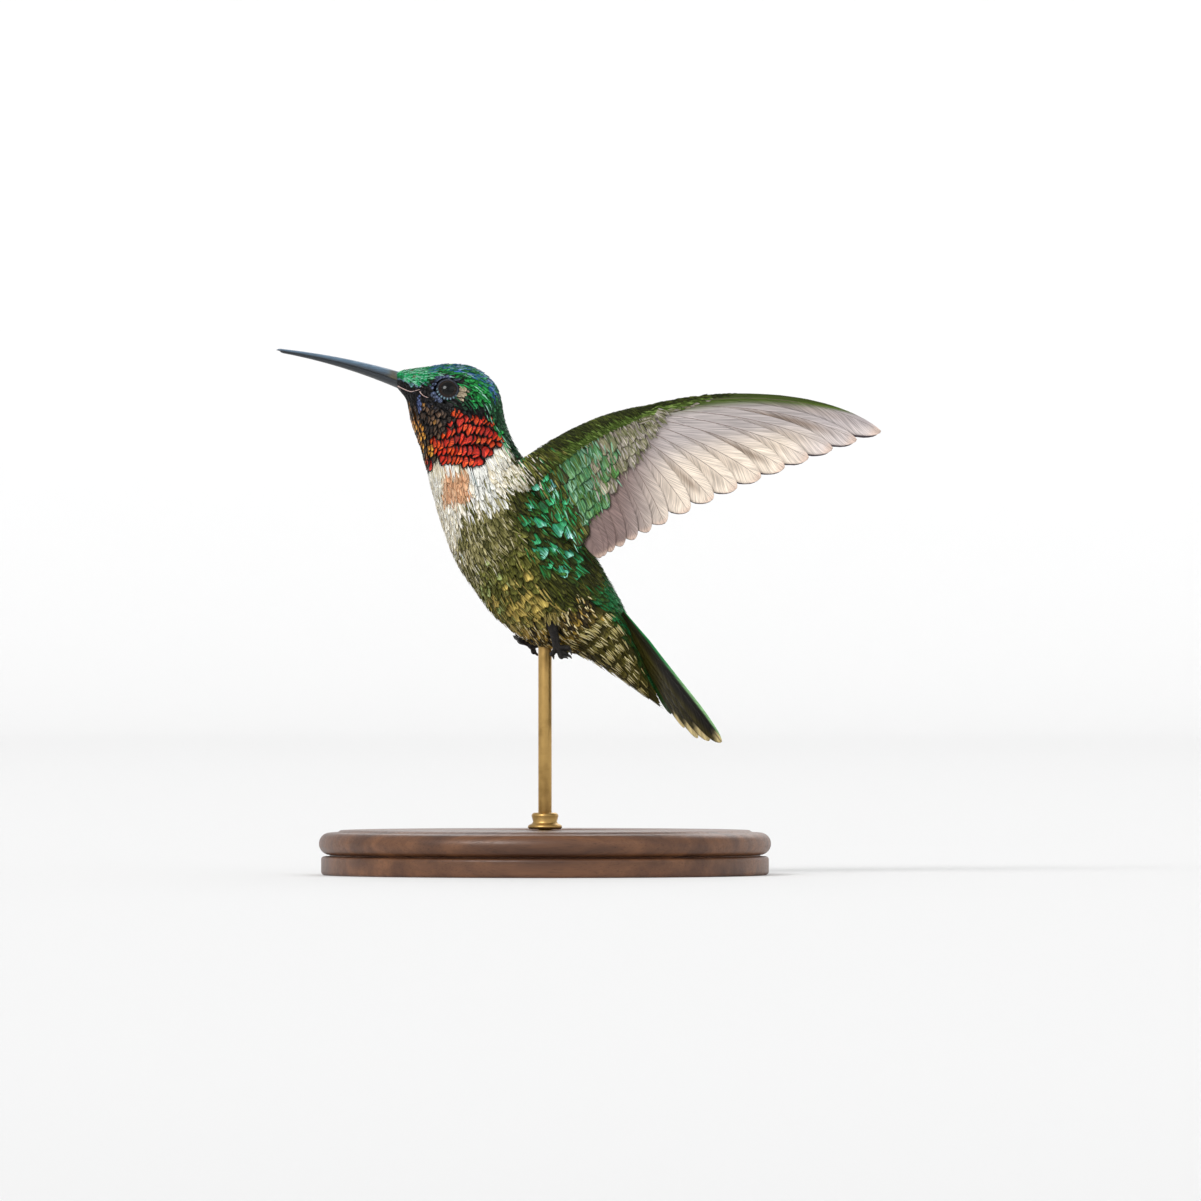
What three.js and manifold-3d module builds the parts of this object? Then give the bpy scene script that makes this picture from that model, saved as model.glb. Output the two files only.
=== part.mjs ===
// Ruby-throated hummingbird, adult male, life-size, hovering with its wings thrown back, on a display stand.
// Millimetres, +Z up. The bird faces -X and its left side is at -Y. The origin is the middle of the
// underside of the stand's base. Every feathered piece is drawn out to the tips of its feathers.
import * as THREE from 'three';
import { mergeVertices } from 'three/addons/utils/BufferGeometryUtils.js';
import Module from 'manifold-3d';

const wasm = await Module();
wasm.setup();

const LEFT = -1;
const RIGHT = 1;
const GAP = 0.3; // clearance where one piece is cut to fit its neighbour
const PARTING = 0.03; // half of a thin cut through the body, in spaces between two body rings

// The body is lofted through rings, each standing on a point of the belly line and a point of the back line.
const BODY_SIDES = 18;
const BODY_ROWS = { head: 13, neck: 6, trunk: 13, coverts: 10, whole: 24 }; // rows of facets in each length
const BODY_RINGS = [
  { name: 'bill base', back: [-20.0, 67.5], belly: [-19.9, 65.2], halfWidth: 1.25 },
  { name: 'lores', back: [-18.2, 67.8], belly: [-18.6, 63.7], halfWidth: 2.7 },
  { name: 'forehead', back: [-15.8, 68.1], belly: [-18.0, 60.8], halfWidth: 4.1 },
  { name: 'eyes', back: [-12.7, 68.5], belly: [-17.0, 57.9], halfWidth: 4.9 },
  { name: 'cheeks', back: [-9.2, 67.9], belly: [-16.3, 55.7], halfWidth: 5.2 },
  { name: 'hind head', back: [-6.4, 65.3], belly: [-15.7, 53.5], halfWidth: 5.3 },
  { name: 'nape', back: [-5.3, 60.7], belly: [-14.9, 50.7], halfWidth: 5.5 },
  { name: 'neck', back: [-3.8, 57.2], belly: [-13.7, 46.5], halfWidth: 6.3 },
  { name: 'shoulders', back: [-1.2, 53.5], belly: [-11.9, 41.9], halfWidth: 7.2 },
  { name: 'breast', back: [2.4, 48.8], belly: [-9.5, 38.3], halfWidth: 7.5 },
  { name: 'belly', back: [5.8, 44.2], belly: [-6.4, 34.3], halfWidth: 6.9 },
  { name: 'vent', back: [8.4, 39.8], belly: [-1.3, 30.8], halfWidth: 5.6 },
  { name: 'rump', back: [10.3, 36.3], belly: [4.4, 29.5], halfWidth: 4.4 },
  { name: 'tail coverts', back: [11.9, 32.6], belly: [9.2, 26.8], halfWidth: 3.3 },
  { name: 'covert tips', back: [14.1, 26.7], belly: [14.3, 23.3], halfWidth: 1.2 },
];
const HEAD_END = 5.5; // where the body is parted, counted in rings
const NECK_END = 7.4;
const TRUNK_END = 11.6;

const EYE_CENTRE = new THREE.Vector3(-13.0, 3.0, 64.6);
const EYE_RADIUS = 2.0; // set so deep that 2.8 mm of it shows
const EYE_FACETS = 12;

const BILL_BASE = new THREE.Vector3(-20.35, 0, 66.4);
const BILL_BEND = new THREE.Vector3(-27.45, 0, 69.1);
const BILL_TIP = new THREE.Vector3(-36.0, 0, 70.3);
const BILL = { baseHalfDepth: 0.95, tipHalfDepth: 0.22, baseHalfWidth: 1.15, tipHalfWidth: 0.25, slit: 0.1 };
const UPPER_MANDIBLE = { rise: 1, depthShare: 1.12, reach: 1 };
const LOWER_MANDIBLE = { rise: -1, depthShare: 0.88, reach: 0.97 };

// The wing is laid out on the bird's side view, in x and z, and then leans outwards by its splay.
const WING = { rootOut: 5.3, splay: THREE.MathUtils.degToRad(13), camber: 0.9 };
const LEADING_EDGE = { x: 26, z: 64.5, bend: 0.0105 }; // a parabola, by its highest point
const TRAILING_EDGE = { tip: [44.8, 59.3], bend: [26, 52.9], root: [7.4, 42.5] };
const ARM_STATIONS = [
  { x: -5.0, z: 52.0, halfDepth: 2.3, halfThick: 2.3 }, // shoulder, inside the trunk
  { x: -0.4, z: 55.2, halfDepth: 2.1, halfThick: 1.9 },
  { x: 3.6, z: 58.0, halfDepth: 1.7, halfThick: 1.5 },
  { x: 7.6, z: 60.1, halfDepth: 1.4, halfThick: 1.2 }, // wrist
  { x: 11.4, z: 61.5, halfDepth: 1.1, halfThick: 0.9 },
  { x: 15.8, z: 62.9, halfDepth: 0.6, halfThick: 0.5 }, // end of the hand
];
const COVERT_EDGE = { hand: [16.2, 62.0], wrist: [12.2, 55.2], elbow: [7.4, 48.6], body: [3.6, 44.6] };
const COVERT_ROOTS = [0.12, 0.96]; // where the plate of coverts starts and ends on the arm, as shares of it
const COVERT_SCALLOPS = { count: 8, depth: 0.5 };
const COVERT_THICKNESS = { atArm: 0.55, atEdge: 0.8 }; // a share of the arm's, and millimetres

// Each pair runs from the outermost feather to the innermost. Roots are shares of the arm's length.
const PRIMARIES = {
  count: 10,
  roots: [0.98, 0.62],
  bulge: [0.18, 0.07],
  lead: [0.6, 1.5],
  trail: [2.6, 2.9],
};
const SECONDARIES = {
  count: 6,
  roots: [0.6, 0.25],
  bulge: [0.06, 0.02],
  lead: 1.5,
  trail: [2.2, 1.3],
};
const PRIMARY_SHARE = 0.77; // of the trailing edge
const SECONDARY_CROWDING = 1.6; // how the inner secondaries crowd towards the body
const BLADE = { thick: 0.56, shingle: 0.2, steps: 5, stepCrowding: 1.3, bendPlace: 0.6 };
const VANE = { atQuill: 0.45, opening: 2.2, taperFrom: 0.62, atTip: 0.16 }; // widths as shares of the widest

const TAIL_ROOT = new THREE.Vector3(8.4, 0, 37.2);
const TAIL_DROP = THREE.MathUtils.degToRad(62.5); // of the middle feathers, below the horizontal
const TAIL_CUP = { slope: 0.22, bend: 0.014 }; // how the fan rises towards its outer feathers
const TAIL_NARROWING = 0.86; // sideways reach that the cupping leaves
const TAIL_LENGTHS = [17.8, 20.4, 22.8, 24.4, 26.0]; // from the middle pair outwards: a forked tail
const TAIL_SPLAYS = [2.5, 8, 13, 18, 22].map(THREE.MathUtils.degToRad);
const TAIL_QUILLS = { first: 0.55, apart: 0.4 }; // where they stand at the root, out from the middle line
const TAIL_START = 3; // how far from the root a blade begins, inside the coverts
const TAIL_OUTER_VANES = [1.7, 1.7, 1.7, 1.7, 1.2];
const TAIL_INNER_VANES = [1.5, 1.2, 1.7, 2.2, 2.4];
const TAIL_BEND = { place: 0.55, out: 0.12 };

const LEG = { kneeRadius: 0.85, ankleRadius: 0.5, footRadius: 0.58, knuckleRadius: 0.42, toeRadius: 0.32 };
const CLAW_RADIUS = 0.1;
const LEFT_LEG = { knee: [0.9, -3.9, 34.0], ankle: [1.6, -4.5, 30.5], stance: 'hanging' };
const RIGHT_LEG = { knee: [1.4, 2.8, 31.5], ankle: [-1.8, 3.3, 30.8], stance: 'drawn forward' };
const TOES = {
  hanging: [
    { reach: [1.5, -0.3, -0.1], curl: [0.5, 0.1, -0.9] },
    { reach: [1.2, 0.2, -0.9], curl: [0.8, 0.1, -0.6] },
    { reach: [0.6, -0.2, -1.2], curl: [0.9, 0.0, -0.3] },
    { reach: [-0.6, 0.2, -0.9], curl: [0.2, 0.1, -0.7] },
  ],
  'drawn forward': [
    { reach: [-1.5, 0.5, 0.7], curl: [-0.7, -0.1, 0.9] },
    { reach: [-1.5, 0.0, 0.5], curl: [-1.0, -0.1, 0.8] },
    { reach: [-1.4, -0.5, 0.6], curl: [-0.9, 0.1, 0.7] },
    { reach: [0.3, 0.4, -0.9], curl: [0.7, 0.2, -0.4] },
  ],
};

const STAND = { baseRadius: 30, baseHeight: 6, edge: 1.6, sides: 44 };
const ROD = { radius: 0.9, top: 35.5, sides: 16 };
const FERRULE = { radius: 2.3, height: 2.2, edge: 0.5, sides: 24 };

// ---- Solids ----

// A closed geometry with its faces turned outwards.
function closedGeometry(points, faces) {
  let volume = 0;
  for (const [a, b, c] of faces) {
    volume += points[a].dot(new THREE.Vector3().crossVectors(points[b], points[c]));
  }
  const index = faces.flatMap(([a, b, c]) => (volume > 0 ? [a, b, c] : [a, c, b]));
  const positions = points.flatMap((point) => point.toArray());
  const geometry = new THREE.BufferGeometry();
  geometry.setAttribute('position', new THREE.Float32BufferAttribute(positions, 3));
  geometry.setIndex(index);
  return geometry;
}

// Skins a row of rings of points and closes both ends with a fan.
function loft(rings) {
  const sides = rings[0].length;
  const points = rings.flat();
  const faces = [];
  for (let row = 0; row + 1 < rings.length; row += 1) {
    for (let side = 0; side < sides; side += 1) {
      const here = row * sides + side;
      const next = row * sides + ((side + 1) % sides);
      faces.push([here, next, here + sides], [next, next + sides, here + sides]);
    }
  }
  const last = (rings.length - 1) * sides;
  for (let side = 1; side + 1 < sides; side += 1) {
    faces.push([0, side + 1, side], [last, last + side, last + side + 1]);
  }
  return closedGeometry(points, faces);
}

function solidOf(geometry) {
  const bare = geometry.clone();
  bare.deleteAttribute('normal');
  bare.deleteAttribute('uv');
  const merged = mergeVertices(bare);
  const mesh = new wasm.Mesh({
    numProp: 3,
    vertProperties: new Float32Array(merged.attributes.position.array),
    triVerts: new Uint32Array(merged.index.array),
  });
  return new wasm.Manifold(mesh);
}

function geometryOf(solid) {
  const mesh = solid.getMesh();
  const geometry = new THREE.BufferGeometry();
  geometry.setAttribute('position', new THREE.BufferAttribute(mesh.vertProperties, 3));
  geometry.setIndex(new THREE.BufferAttribute(mesh.triVerts, 1));
  geometry.computeVertexNormals();
  return geometry;
}

const joined = (solids) => solids.reduce((sum, solid) => sum.add(solid));
const cutBy = (solid, cutters) => cutters.reduce((rest, cutter) => rest.subtract(cutter), solid);
const mixed = (from, to, share) => from + (to - from) * share;
const within = ([from, to], share) => mixed(from, to, share);

// ---- Materials ----

function finish(color, roughness, metalness = 0) {
  return new THREE.MeshStandardMaterial({ color, roughness, metalness });
}

const greenPlumage = finish(0x2c6b3a, 0.5);
const gorgetPlumage = finish(0xc93a20, 0.4);
const palePlumage = finish(0x8f8a63, 0.8);
const wingFeather = finish(0xb3a4a6, 0.6);
const tailBlack = finish(0x1d1c18, 0.5);
const horn = finish(0x3f4c57, 0.35);
const eyeGlass = finish(0x120c09, 0.08);
const legSkin = finish(0x17140f, 0.6);
const turnedWood = finish(0x6b4630, 0.5);
const brassRod = finish(0xb08d4f, 0.3, 1);

// ---- Body ----

const lineThrough = (points) => new THREE.CatmullRomCurve3(points, false, 'catmullrom', 0.5);
const sidePoint = ([x, z]) => new THREE.Vector3(x, 0, z);
const backLine = lineThrough(BODY_RINGS.map((ring) => sidePoint(ring.back)));
const bellyLine = lineThrough(BODY_RINGS.map((ring) => sidePoint(ring.belly)));
const widthLine = lineThrough(BODY_RINGS.map((ring) => new THREE.Vector3(ring.halfWidth, 0, 0)));

function bodyRing(station, extra) {
  const along = station / (BODY_RINGS.length - 1);
  const back = backLine.getPoint(along);
  const centre = bellyLine.getPoint(along).add(back).multiplyScalar(0.5);
  const up = back.sub(centre);
  up.setLength(up.length() + extra);
  const out = new THREE.Vector3(0, widthLine.getPoint(along).x + extra, 0);
  return Array.from({ length: BODY_SIDES }, (_, side) => {
    const angle = (side / BODY_SIDES) * 2 * Math.PI;
    return centre.clone().addScaledVector(up, Math.cos(angle)).addScaledVector(out, Math.sin(angle));
  });
}

function bodyLength(start, end, rings, extra = 0) {
  const stations = Array.from({ length: rings }, (_, row) => mixed(start, end, row / (rings - 1)));
  return solidOf(loft(stations.map((station) => bodyRing(station, extra))));
}

function ball(centre, radius, facets) {
  const sphere = new THREE.SphereGeometry(radius, facets, Math.ceil(facets / 1.5));
  return solidOf(sphere.translate(centre.x, centre.y, centre.z));
}

function eyeball(side, extra = 0) {
  const centre = new THREE.Vector3(EYE_CENTRE.x, side * EYE_CENTRE.y, EYE_CENTRE.z);
  return ball(centre, EYE_RADIUS + extra, EYE_FACETS);
}

function head() {
  const sockets = [LEFT, RIGHT].map((side) => eyeball(side, GAP));
  return cutBy(bodyLength(0, HEAD_END - PARTING, BODY_ROWS.head), sockets);
}

// ---- Bill ----

const billAxis = new THREE.QuadraticBezierCurve3(BILL_BASE, BILL_BEND, BILL_TIP);

// Half of the bill, round on the outside and flat where it meets the other half.
function mandible({ rise, depthShare, reach }) {
  const steps = 9;
  const arc = 6;
  const rings = [];
  for (let step = 0; step <= steps; step += 1) {
    const along = (step / steps) * reach;
    const centre = billAxis.getPoint(along);
    const tangent = billAxis.getTangent(along);
    const up = new THREE.Vector3(tangent.z, 0, -tangent.x).multiplyScalar(rise);
    const depth = mixed(BILL.baseHalfDepth, BILL.tipHalfDepth, along) * depthShare;
    const width = mixed(BILL.baseHalfWidth, BILL.tipHalfWidth, along);
    centre.addScaledVector(up, BILL.slit / 2);
    const ring = Array.from({ length: arc + 1 }, (_, corner) => {
      const angle = (corner / arc) * Math.PI;
      const point = centre.clone().addScaledVector(up, Math.sin(angle) * depth);
      point.y += Math.cos(angle) * width;
      return point;
    });
    rings.push(ring);
  }
  return solidOf(loft(rings));
}

// ---- Wings ----

const trailingEdge = new THREE.QuadraticBezierCurve(
  new THREE.Vector2(...TRAILING_EDGE.tip),
  new THREE.Vector2(...TRAILING_EDGE.bend),
  new THREE.Vector2(...TRAILING_EDGE.root),
);

// How far from the middle plane the wing lies, at a place of the side view.
function wingOut(x, z) {
  const leading = LEADING_EDGE.z - LEADING_EDGE.bend * (x - LEADING_EDGE.x) ** 2;
  const [rootX, rootZ] = TRAILING_EDGE.root;
  const [tipX, tipZ] = TRAILING_EDGE.tip;
  const trailing = mixed(rootZ, tipZ, (x - rootX) / (tipX - rootX));
  const chord = Math.max(leading - trailing, 1);
  const share = THREE.MathUtils.clamp((leading - z) / chord, 0, 1);
  return WING.rootOut + x * Math.tan(WING.splay) - WING.camber * 4 * share * (1 - share);
}

const wingPoint = (side) => (x, z, lift) => new THREE.Vector3(x, side * (wingOut(x, z) + lift), z);

const armLine = lineThrough(ARM_STATIONS.map(({ x, z }) => sidePoint([x, z])));
const armSize = lineThrough(
  ARM_STATIONS.map(({ halfDepth, halfThick }) => new THREE.Vector3(halfDepth, halfThick, 0)),
);

function wingArm(side, extra = 0) {
  const steps = 12;
  const corners = 10;
  const rings = [];
  for (let step = 0; step <= steps; step += 1) {
    const centre = armLine.getPoint(step / steps);
    const tangent = armLine.getTangent(step / steps);
    const size = armSize.getPoint(step / steps);
    const middle = wingPoint(side)(centre.x, centre.z, 0);
    const ring = Array.from({ length: corners }, (_, corner) => {
      const angle = (corner / corners) * 2 * Math.PI;
      const up = Math.cos(angle) * (size.x + extra);
      const out = Math.sin(angle) * (size.y + extra);
      return middle.clone().add(new THREE.Vector3(-tangent.z * up, out, tangent.x * up));
    });
    rings.push(ring);
  }
  return solidOf(loft(rings));
}

const covertEdge = new THREE.CubicBezierCurve(
  new THREE.Vector2(...COVERT_EDGE.body),
  new THREE.Vector2(...COVERT_EDGE.elbow),
  new THREE.Vector2(...COVERT_EDGE.wrist),
  new THREE.Vector2(...COVERT_EDGE.hand),
);

// The wing coverts: a plate from the arm to a scalloped edge, thinner towards the edge.
function wingCoverts(side, extra = 0) {
  const steps = COVERT_SCALLOPS.count * 2;
  const pointAt = wingPoint(side);
  const rings = [];
  for (let step = 0; step <= steps; step += 1) {
    const along = step / steps;
    const root = within(COVERT_ROOTS, along);
    const top = armLine.getPoint(root);
    const edge = covertEdge.getPoint(along);
    const scallop = Math.abs(Math.sin(along * COVERT_SCALLOPS.count * Math.PI));
    const reach = new THREE.Vector2(edge.x - top.x, edge.y - top.z);
    const length = reach.length();
    reach.setLength(length + COVERT_SCALLOPS.depth * (scallop - 1) + extra);
    const topHalf = armSize.getPoint(root).y * COVERT_THICKNESS.atArm;
    const half = (share) => mixed(topHalf, COVERT_THICKNESS.atEdge / 2, share) + extra;
    const at = (share, sign) => pointAt(top.x + reach.x * share, top.z + reach.y * share, sign * half(share));
    rings.push([at(0, 1), at(0.5, 1), at(1, 1), at(1, -1), at(0.5, -1), at(0, -1)]);
  }
  return solidOf(loft(rings));
}

// Width of a feather's vane along its shaft, as a share of its full width.
function vaneShape(share) {
  const opening = Math.min(1, VANE.atQuill + share * VANE.opening);
  const taper = Math.max(0, (share - VANE.taperFrom) / (1 - VANE.taperFrom));
  return Math.max(opening * Math.sqrt(1 - taper ** 2), VANE.atTip);
}

// A feather blade along a curve of its own plane; pointAt turns plane coordinates and a lift into space.
function blade({ shaft, lead, trail, pointAt, extra = 0 }) {
  const rings = [];
  for (let step = 0; step <= BLADE.steps; step += 1) {
    const share = 1 - (1 - step / BLADE.steps) ** BLADE.stepCrowding;
    const centre = shaft.getPoint(share);
    const tangent = shaft.getTangent(share);
    const across = new THREE.Vector2(-tangent.y, tangent.x);
    if (step === BLADE.steps) {
      centre.addScaledVector(tangent, extra);
    }
    const width = vaneShape(share);
    const half = BLADE.thick / 2 + extra;
    const at = (reach, tilt, thick) =>
      pointAt(centre.x + across.x * reach, centre.y + across.y * reach, tilt + thick);
    const leading = lead * width + extra;
    const trailing = -(trail * width + extra);
    const tilt = BLADE.shingle * width;
    rings.push([
      at(leading, tilt, half),
      at(trailing, -tilt, half),
      at(trailing, -tilt, -half),
      at(leading, tilt, -half),
    ]);
  }
  return solidOf(loft(rings));
}

function shaftBetween(base, tip, bulge) {
  const reach = tip.clone().sub(base);
  const bend = base.clone().addScaledVector(reach, BLADE.bendPlace);
  bend.add(new THREE.Vector2(-reach.y, reach.x).multiplyScalar(bulge));
  return new THREE.QuadraticBezierCurve(base, bend, tip);
}

function armPoint(share) {
  const point = armLine.getPoint(share);
  return new THREE.Vector2(point.x, point.z);
}

function primary(side, order, extra) {
  const share = order / (PRIMARIES.count - 1);
  const base = armPoint(within(PRIMARIES.roots, share));
  const tip = trailingEdge.getPoint(PRIMARY_SHARE * share);
  const shaft = shaftBetween(base, tip, within(PRIMARIES.bulge, Math.sqrt(share)));
  const lead = within(PRIMARIES.lead, Math.min(1, share * 2));
  return blade({ shaft, lead, trail: within(PRIMARIES.trail, share), pointAt: wingPoint(side), extra });
}

function secondary(side, order) {
  const share = (order + 1) / SECONDARIES.count;
  const base = armPoint(within(SECONDARIES.roots, share));
  const tip = trailingEdge.getPoint(mixed(1, PRIMARY_SHARE, (1 - share) ** SECONDARY_CROWDING));
  const shaft = shaftBetween(base, tip, within(SECONDARIES.bulge, share));
  const trail = within(SECONDARIES.trail, share);
  return blade({ shaft, lead: SECONDARIES.lead, trail, pointAt: wingPoint(side) });
}

function primaries(side, extra = 0) {
  return joined(Array.from({ length: PRIMARIES.count }, (_, order) => primary(side, order, extra)));
}

function secondaries(side) {
  return joined(Array.from({ length: SECONDARIES.count }, (_, order) => secondary(side, order)));
}

// ---- Tail ----

const tailAlong = new THREE.Vector3(Math.cos(TAIL_DROP), 0, -Math.sin(TAIL_DROP));
const tailUp = new THREE.Vector3(Math.sin(TAIL_DROP), 0, Math.cos(TAIL_DROP));

// A place on the cupped fan: distance along the tail, distance out from its middle line, and lift.
const tailPoint = (side) => (along, out, lift) => {
  const rise = TAIL_CUP.slope * Math.abs(out) + TAIL_CUP.bend * out ** 2;
  const point = TAIL_ROOT.clone().addScaledVector(tailAlong, along).addScaledVector(tailUp, rise + lift);
  point.y = side * out * TAIL_NARROWING;
  return point;
};

function tailFeather(side, order, extra) {
  const splay = TAIL_SPLAYS[order];
  const length = TAIL_LENGTHS[order];
  const start = TAIL_QUILLS.first + order * TAIL_QUILLS.apart;
  const ray = (reach) => new THREE.Vector2(reach * Math.cos(splay), start + reach * Math.sin(splay));
  const bend = ray(length * TAIL_BEND.place).add(new THREE.Vector2(0, order * TAIL_BEND.out));
  const shaft = new THREE.QuadraticBezierCurve(ray(TAIL_START), bend, ray(length));
  const vanes = { lead: TAIL_OUTER_VANES[order], trail: TAIL_INNER_VANES[order] };
  return blade({ shaft, ...vanes, pointAt: tailPoint(side), extra });
}

function tailPair(extra = 0) {
  return joined([LEFT, RIGHT].map((side) => tailFeather(side, 0, extra)));
}

function tailSide(side, extra = 0) {
  const orders = TAIL_LENGTHS.map((_, order) => order).slice(1);
  return joined(orders.map((order) => tailFeather(side, order, extra)));
}

// ---- Legs and feet ----

// A round tube through a few points, each with its radius.
function taperedTube(points, radii, corners) {
  const line = lineThrough(points);
  const steps = (points.length - 1) * 2;
  const sideways = new THREE.Vector3(0, 1, 0);
  const rings = [];
  for (let step = 0; step <= steps; step += 1) {
    const share = step / steps;
    const centre = line.getPoint(share);
    const tangent = line.getTangent(share);
    const across = new THREE.Vector3().crossVectors(tangent, sideways).normalize();
    const other = new THREE.Vector3().crossVectors(tangent, across);
    const slot = Math.min(Math.floor(share * (radii.length - 1)), radii.length - 2);
    const radius = mixed(radii[slot], radii[slot + 1], share * (radii.length - 1) - slot);
    const ring = Array.from({ length: corners }, (_, corner) => {
      const angle = (corner / corners) * 2 * Math.PI;
      return centre
        .clone()
        .addScaledVector(across, Math.cos(angle) * radius)
        .addScaledVector(other, Math.sin(angle) * radius);
    });
    rings.push(ring);
  }
  return solidOf(loft(rings));
}

function shank({ knee, ankle }, extra = 0) {
  const ends = [new THREE.Vector3(...knee), new THREE.Vector3(...ankle)];
  const radii = [LEG.kneeRadius + extra, LEG.ankleRadius + extra];
  return taperedTube(ends, radii, 8);
}

function footBall({ ankle }, extra = 0) {
  return ball(new THREE.Vector3(...ankle), LEG.footRadius + extra, 6);
}

function foot(leg) {
  const joint = new THREE.Vector3(...leg.ankle);
  const toes = TOES[leg.stance].map(({ reach, curl }) => {
    const knuckle = joint.clone().add(new THREE.Vector3(...reach));
    const tip = knuckle.clone().add(new THREE.Vector3(...curl));
    return taperedTube([joint, knuckle, tip], [LEG.knuckleRadius, LEG.toeRadius, CLAW_RADIUS], 5);
  });
  return joined([footBall(leg), ...toes]);
}

// ---- Stand ----

function turned(profile, sides) {
  const points = profile.map(([radius, height]) => new THREE.Vector2(radius, height));
  return new THREE.LatheGeometry(points, sides).rotateX(Math.PI / 2);
}

function standBase() {
  const { baseRadius, baseHeight, edge } = STAND;
  const socket = ROD.radius + GAP;
  const arc = [0, 45, 90].map(THREE.MathUtils.degToRad).map((angle) => [
    baseRadius - edge + edge * Math.cos(angle),
    baseHeight - edge + edge * Math.sin(angle),
  ]);
  const socketFloor = baseHeight / 2;
  const underside = [[0, 0], [baseRadius, 0]];
  const rodSocket = [[socket, baseHeight], [socket, socketFloor], [0, socketFloor]];
  return solidOf(turned([...underside, ...arc, ...rodSocket], STAND.sides));
}

function rod(extra = 0) {
  const bottom = STAND.baseHeight / 2 + GAP;
  const length = ROD.top + extra - bottom;
  const radius = ROD.radius + extra;
  const cylinder = new THREE.CylinderGeometry(radius, radius, length, ROD.sides);
  return solidOf(cylinder.rotateX(Math.PI / 2).translate(0, 0, bottom + length / 2));
}

function ferrule() {
  const { radius, height, edge } = FERRULE;
  const bore = ROD.radius + GAP / 2;
  const floor = STAND.baseHeight + GAP / 2;
  const profile = [
    [bore, floor],
    [radius, floor],
    [radius, floor + height - edge],
    [radius - edge, floor + height],
    [bore, floor + height],
    [bore, floor],
  ];
  return solidOf(turned(profile, FERRULE.sides));
}

// ---- The whole bird ----

const bird = new THREE.Group();

function place(name, solid, material) {
  const mesh = new THREE.Mesh(geometryOf(solid), material);
  mesh.name = name;
  bird.add(mesh);
}

const lastRing = BODY_RINGS.length - 1;
const bodyRoom = bodyLength(HEAD_END, lastRing, BODY_ROWS.whole, GAP);
const trunk = bodyLength(NECK_END + PARTING, TRUNK_END - PARTING, BODY_ROWS.trunk);
const tailCoverts = bodyLength(TRUNK_END + PARTING, lastRing, BODY_ROWS.coverts);
const legRooms = [LEFT_LEG, RIGHT_LEG].map((leg) => shank(leg, GAP));
const middleRoom = tailPair(GAP);
const tailRooms = [middleRoom, tailSide(LEFT, GAP), tailSide(RIGHT, GAP)];

place('bill_upper', mandible(UPPER_MANDIBLE), horn);
place('bill_lower', mandible(LOWER_MANDIBLE), horn);
place('head', head(), greenPlumage);
place('neck', bodyLength(HEAD_END + PARTING, NECK_END - PARTING, BODY_ROWS.neck), gorgetPlumage);
place('trunk', cutBy(trunk, [rod(GAP), ...legRooms]), palePlumage);
place('tail_coverts', cutBy(tailCoverts, tailRooms), palePlumage);
place('tail_middle', tailPair(), tailBlack);

for (const [label, side, leg] of [['left', LEFT, LEFT_LEG], ['right', RIGHT, RIGHT_LEG]]) {
  const armRooms = [wingArm(side, GAP), bodyRoom];
  const featherRooms = [wingCoverts(side, GAP), ...armRooms];
  place(`eye_${label}`, eyeball(side), eyeGlass);
  place(`wing_${label}_arm`, cutBy(wingArm(side), [bodyRoom]), greenPlumage);
  place(`wing_${label}_coverts`, cutBy(wingCoverts(side), armRooms), greenPlumage);
  place(`wing_${label}_primaries`, cutBy(primaries(side), featherRooms), wingFeather);
  const innerRooms = [primaries(side, GAP), ...featherRooms];
  place(`wing_${label}_secondaries`, cutBy(secondaries(side), innerRooms), wingFeather);
  place(`tail_${label}`, cutBy(tailSide(side), [middleRoom]), tailBlack);
  place(`leg_${label}`, cutBy(shank(leg), [footBall(leg, GAP)]), legSkin);
  place(`foot_${label}`, foot(leg), legSkin);
}

place('stand_base', standBase(), turnedWood);
place('stand_ferrule', ferrule(), brassRod);
place('stand_rod', rod(), brassRod);

export default bird;
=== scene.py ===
import math

import bmesh
import bpy
import numpy as np
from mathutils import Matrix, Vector
from mathutils.kdtree import KDTree


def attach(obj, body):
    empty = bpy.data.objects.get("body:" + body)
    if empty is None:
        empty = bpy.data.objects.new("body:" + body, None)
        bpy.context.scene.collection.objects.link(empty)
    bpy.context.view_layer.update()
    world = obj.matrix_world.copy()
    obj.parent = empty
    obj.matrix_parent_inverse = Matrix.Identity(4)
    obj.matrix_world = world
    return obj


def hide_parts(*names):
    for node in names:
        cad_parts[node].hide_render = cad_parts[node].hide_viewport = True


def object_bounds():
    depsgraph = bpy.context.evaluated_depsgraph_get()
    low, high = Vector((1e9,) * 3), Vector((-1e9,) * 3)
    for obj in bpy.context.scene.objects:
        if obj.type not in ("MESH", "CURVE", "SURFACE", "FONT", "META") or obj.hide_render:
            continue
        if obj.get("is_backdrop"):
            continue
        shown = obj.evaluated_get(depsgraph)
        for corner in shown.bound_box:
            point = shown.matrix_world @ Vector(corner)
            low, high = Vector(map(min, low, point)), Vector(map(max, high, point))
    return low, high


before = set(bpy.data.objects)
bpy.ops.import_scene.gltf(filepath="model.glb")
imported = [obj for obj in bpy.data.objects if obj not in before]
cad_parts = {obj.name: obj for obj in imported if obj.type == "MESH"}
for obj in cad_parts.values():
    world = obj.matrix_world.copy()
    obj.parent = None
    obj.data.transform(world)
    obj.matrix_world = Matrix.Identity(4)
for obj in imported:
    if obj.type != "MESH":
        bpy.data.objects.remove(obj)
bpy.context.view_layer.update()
mm = 0.001  # sizes below are in millimetres, and turn into metres where a shape is placed
rng = np.random.default_rng(11)
wingSides = {"left": -1, "right": 1}
print("frame loaded,", len(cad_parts), "nodes")


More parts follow.
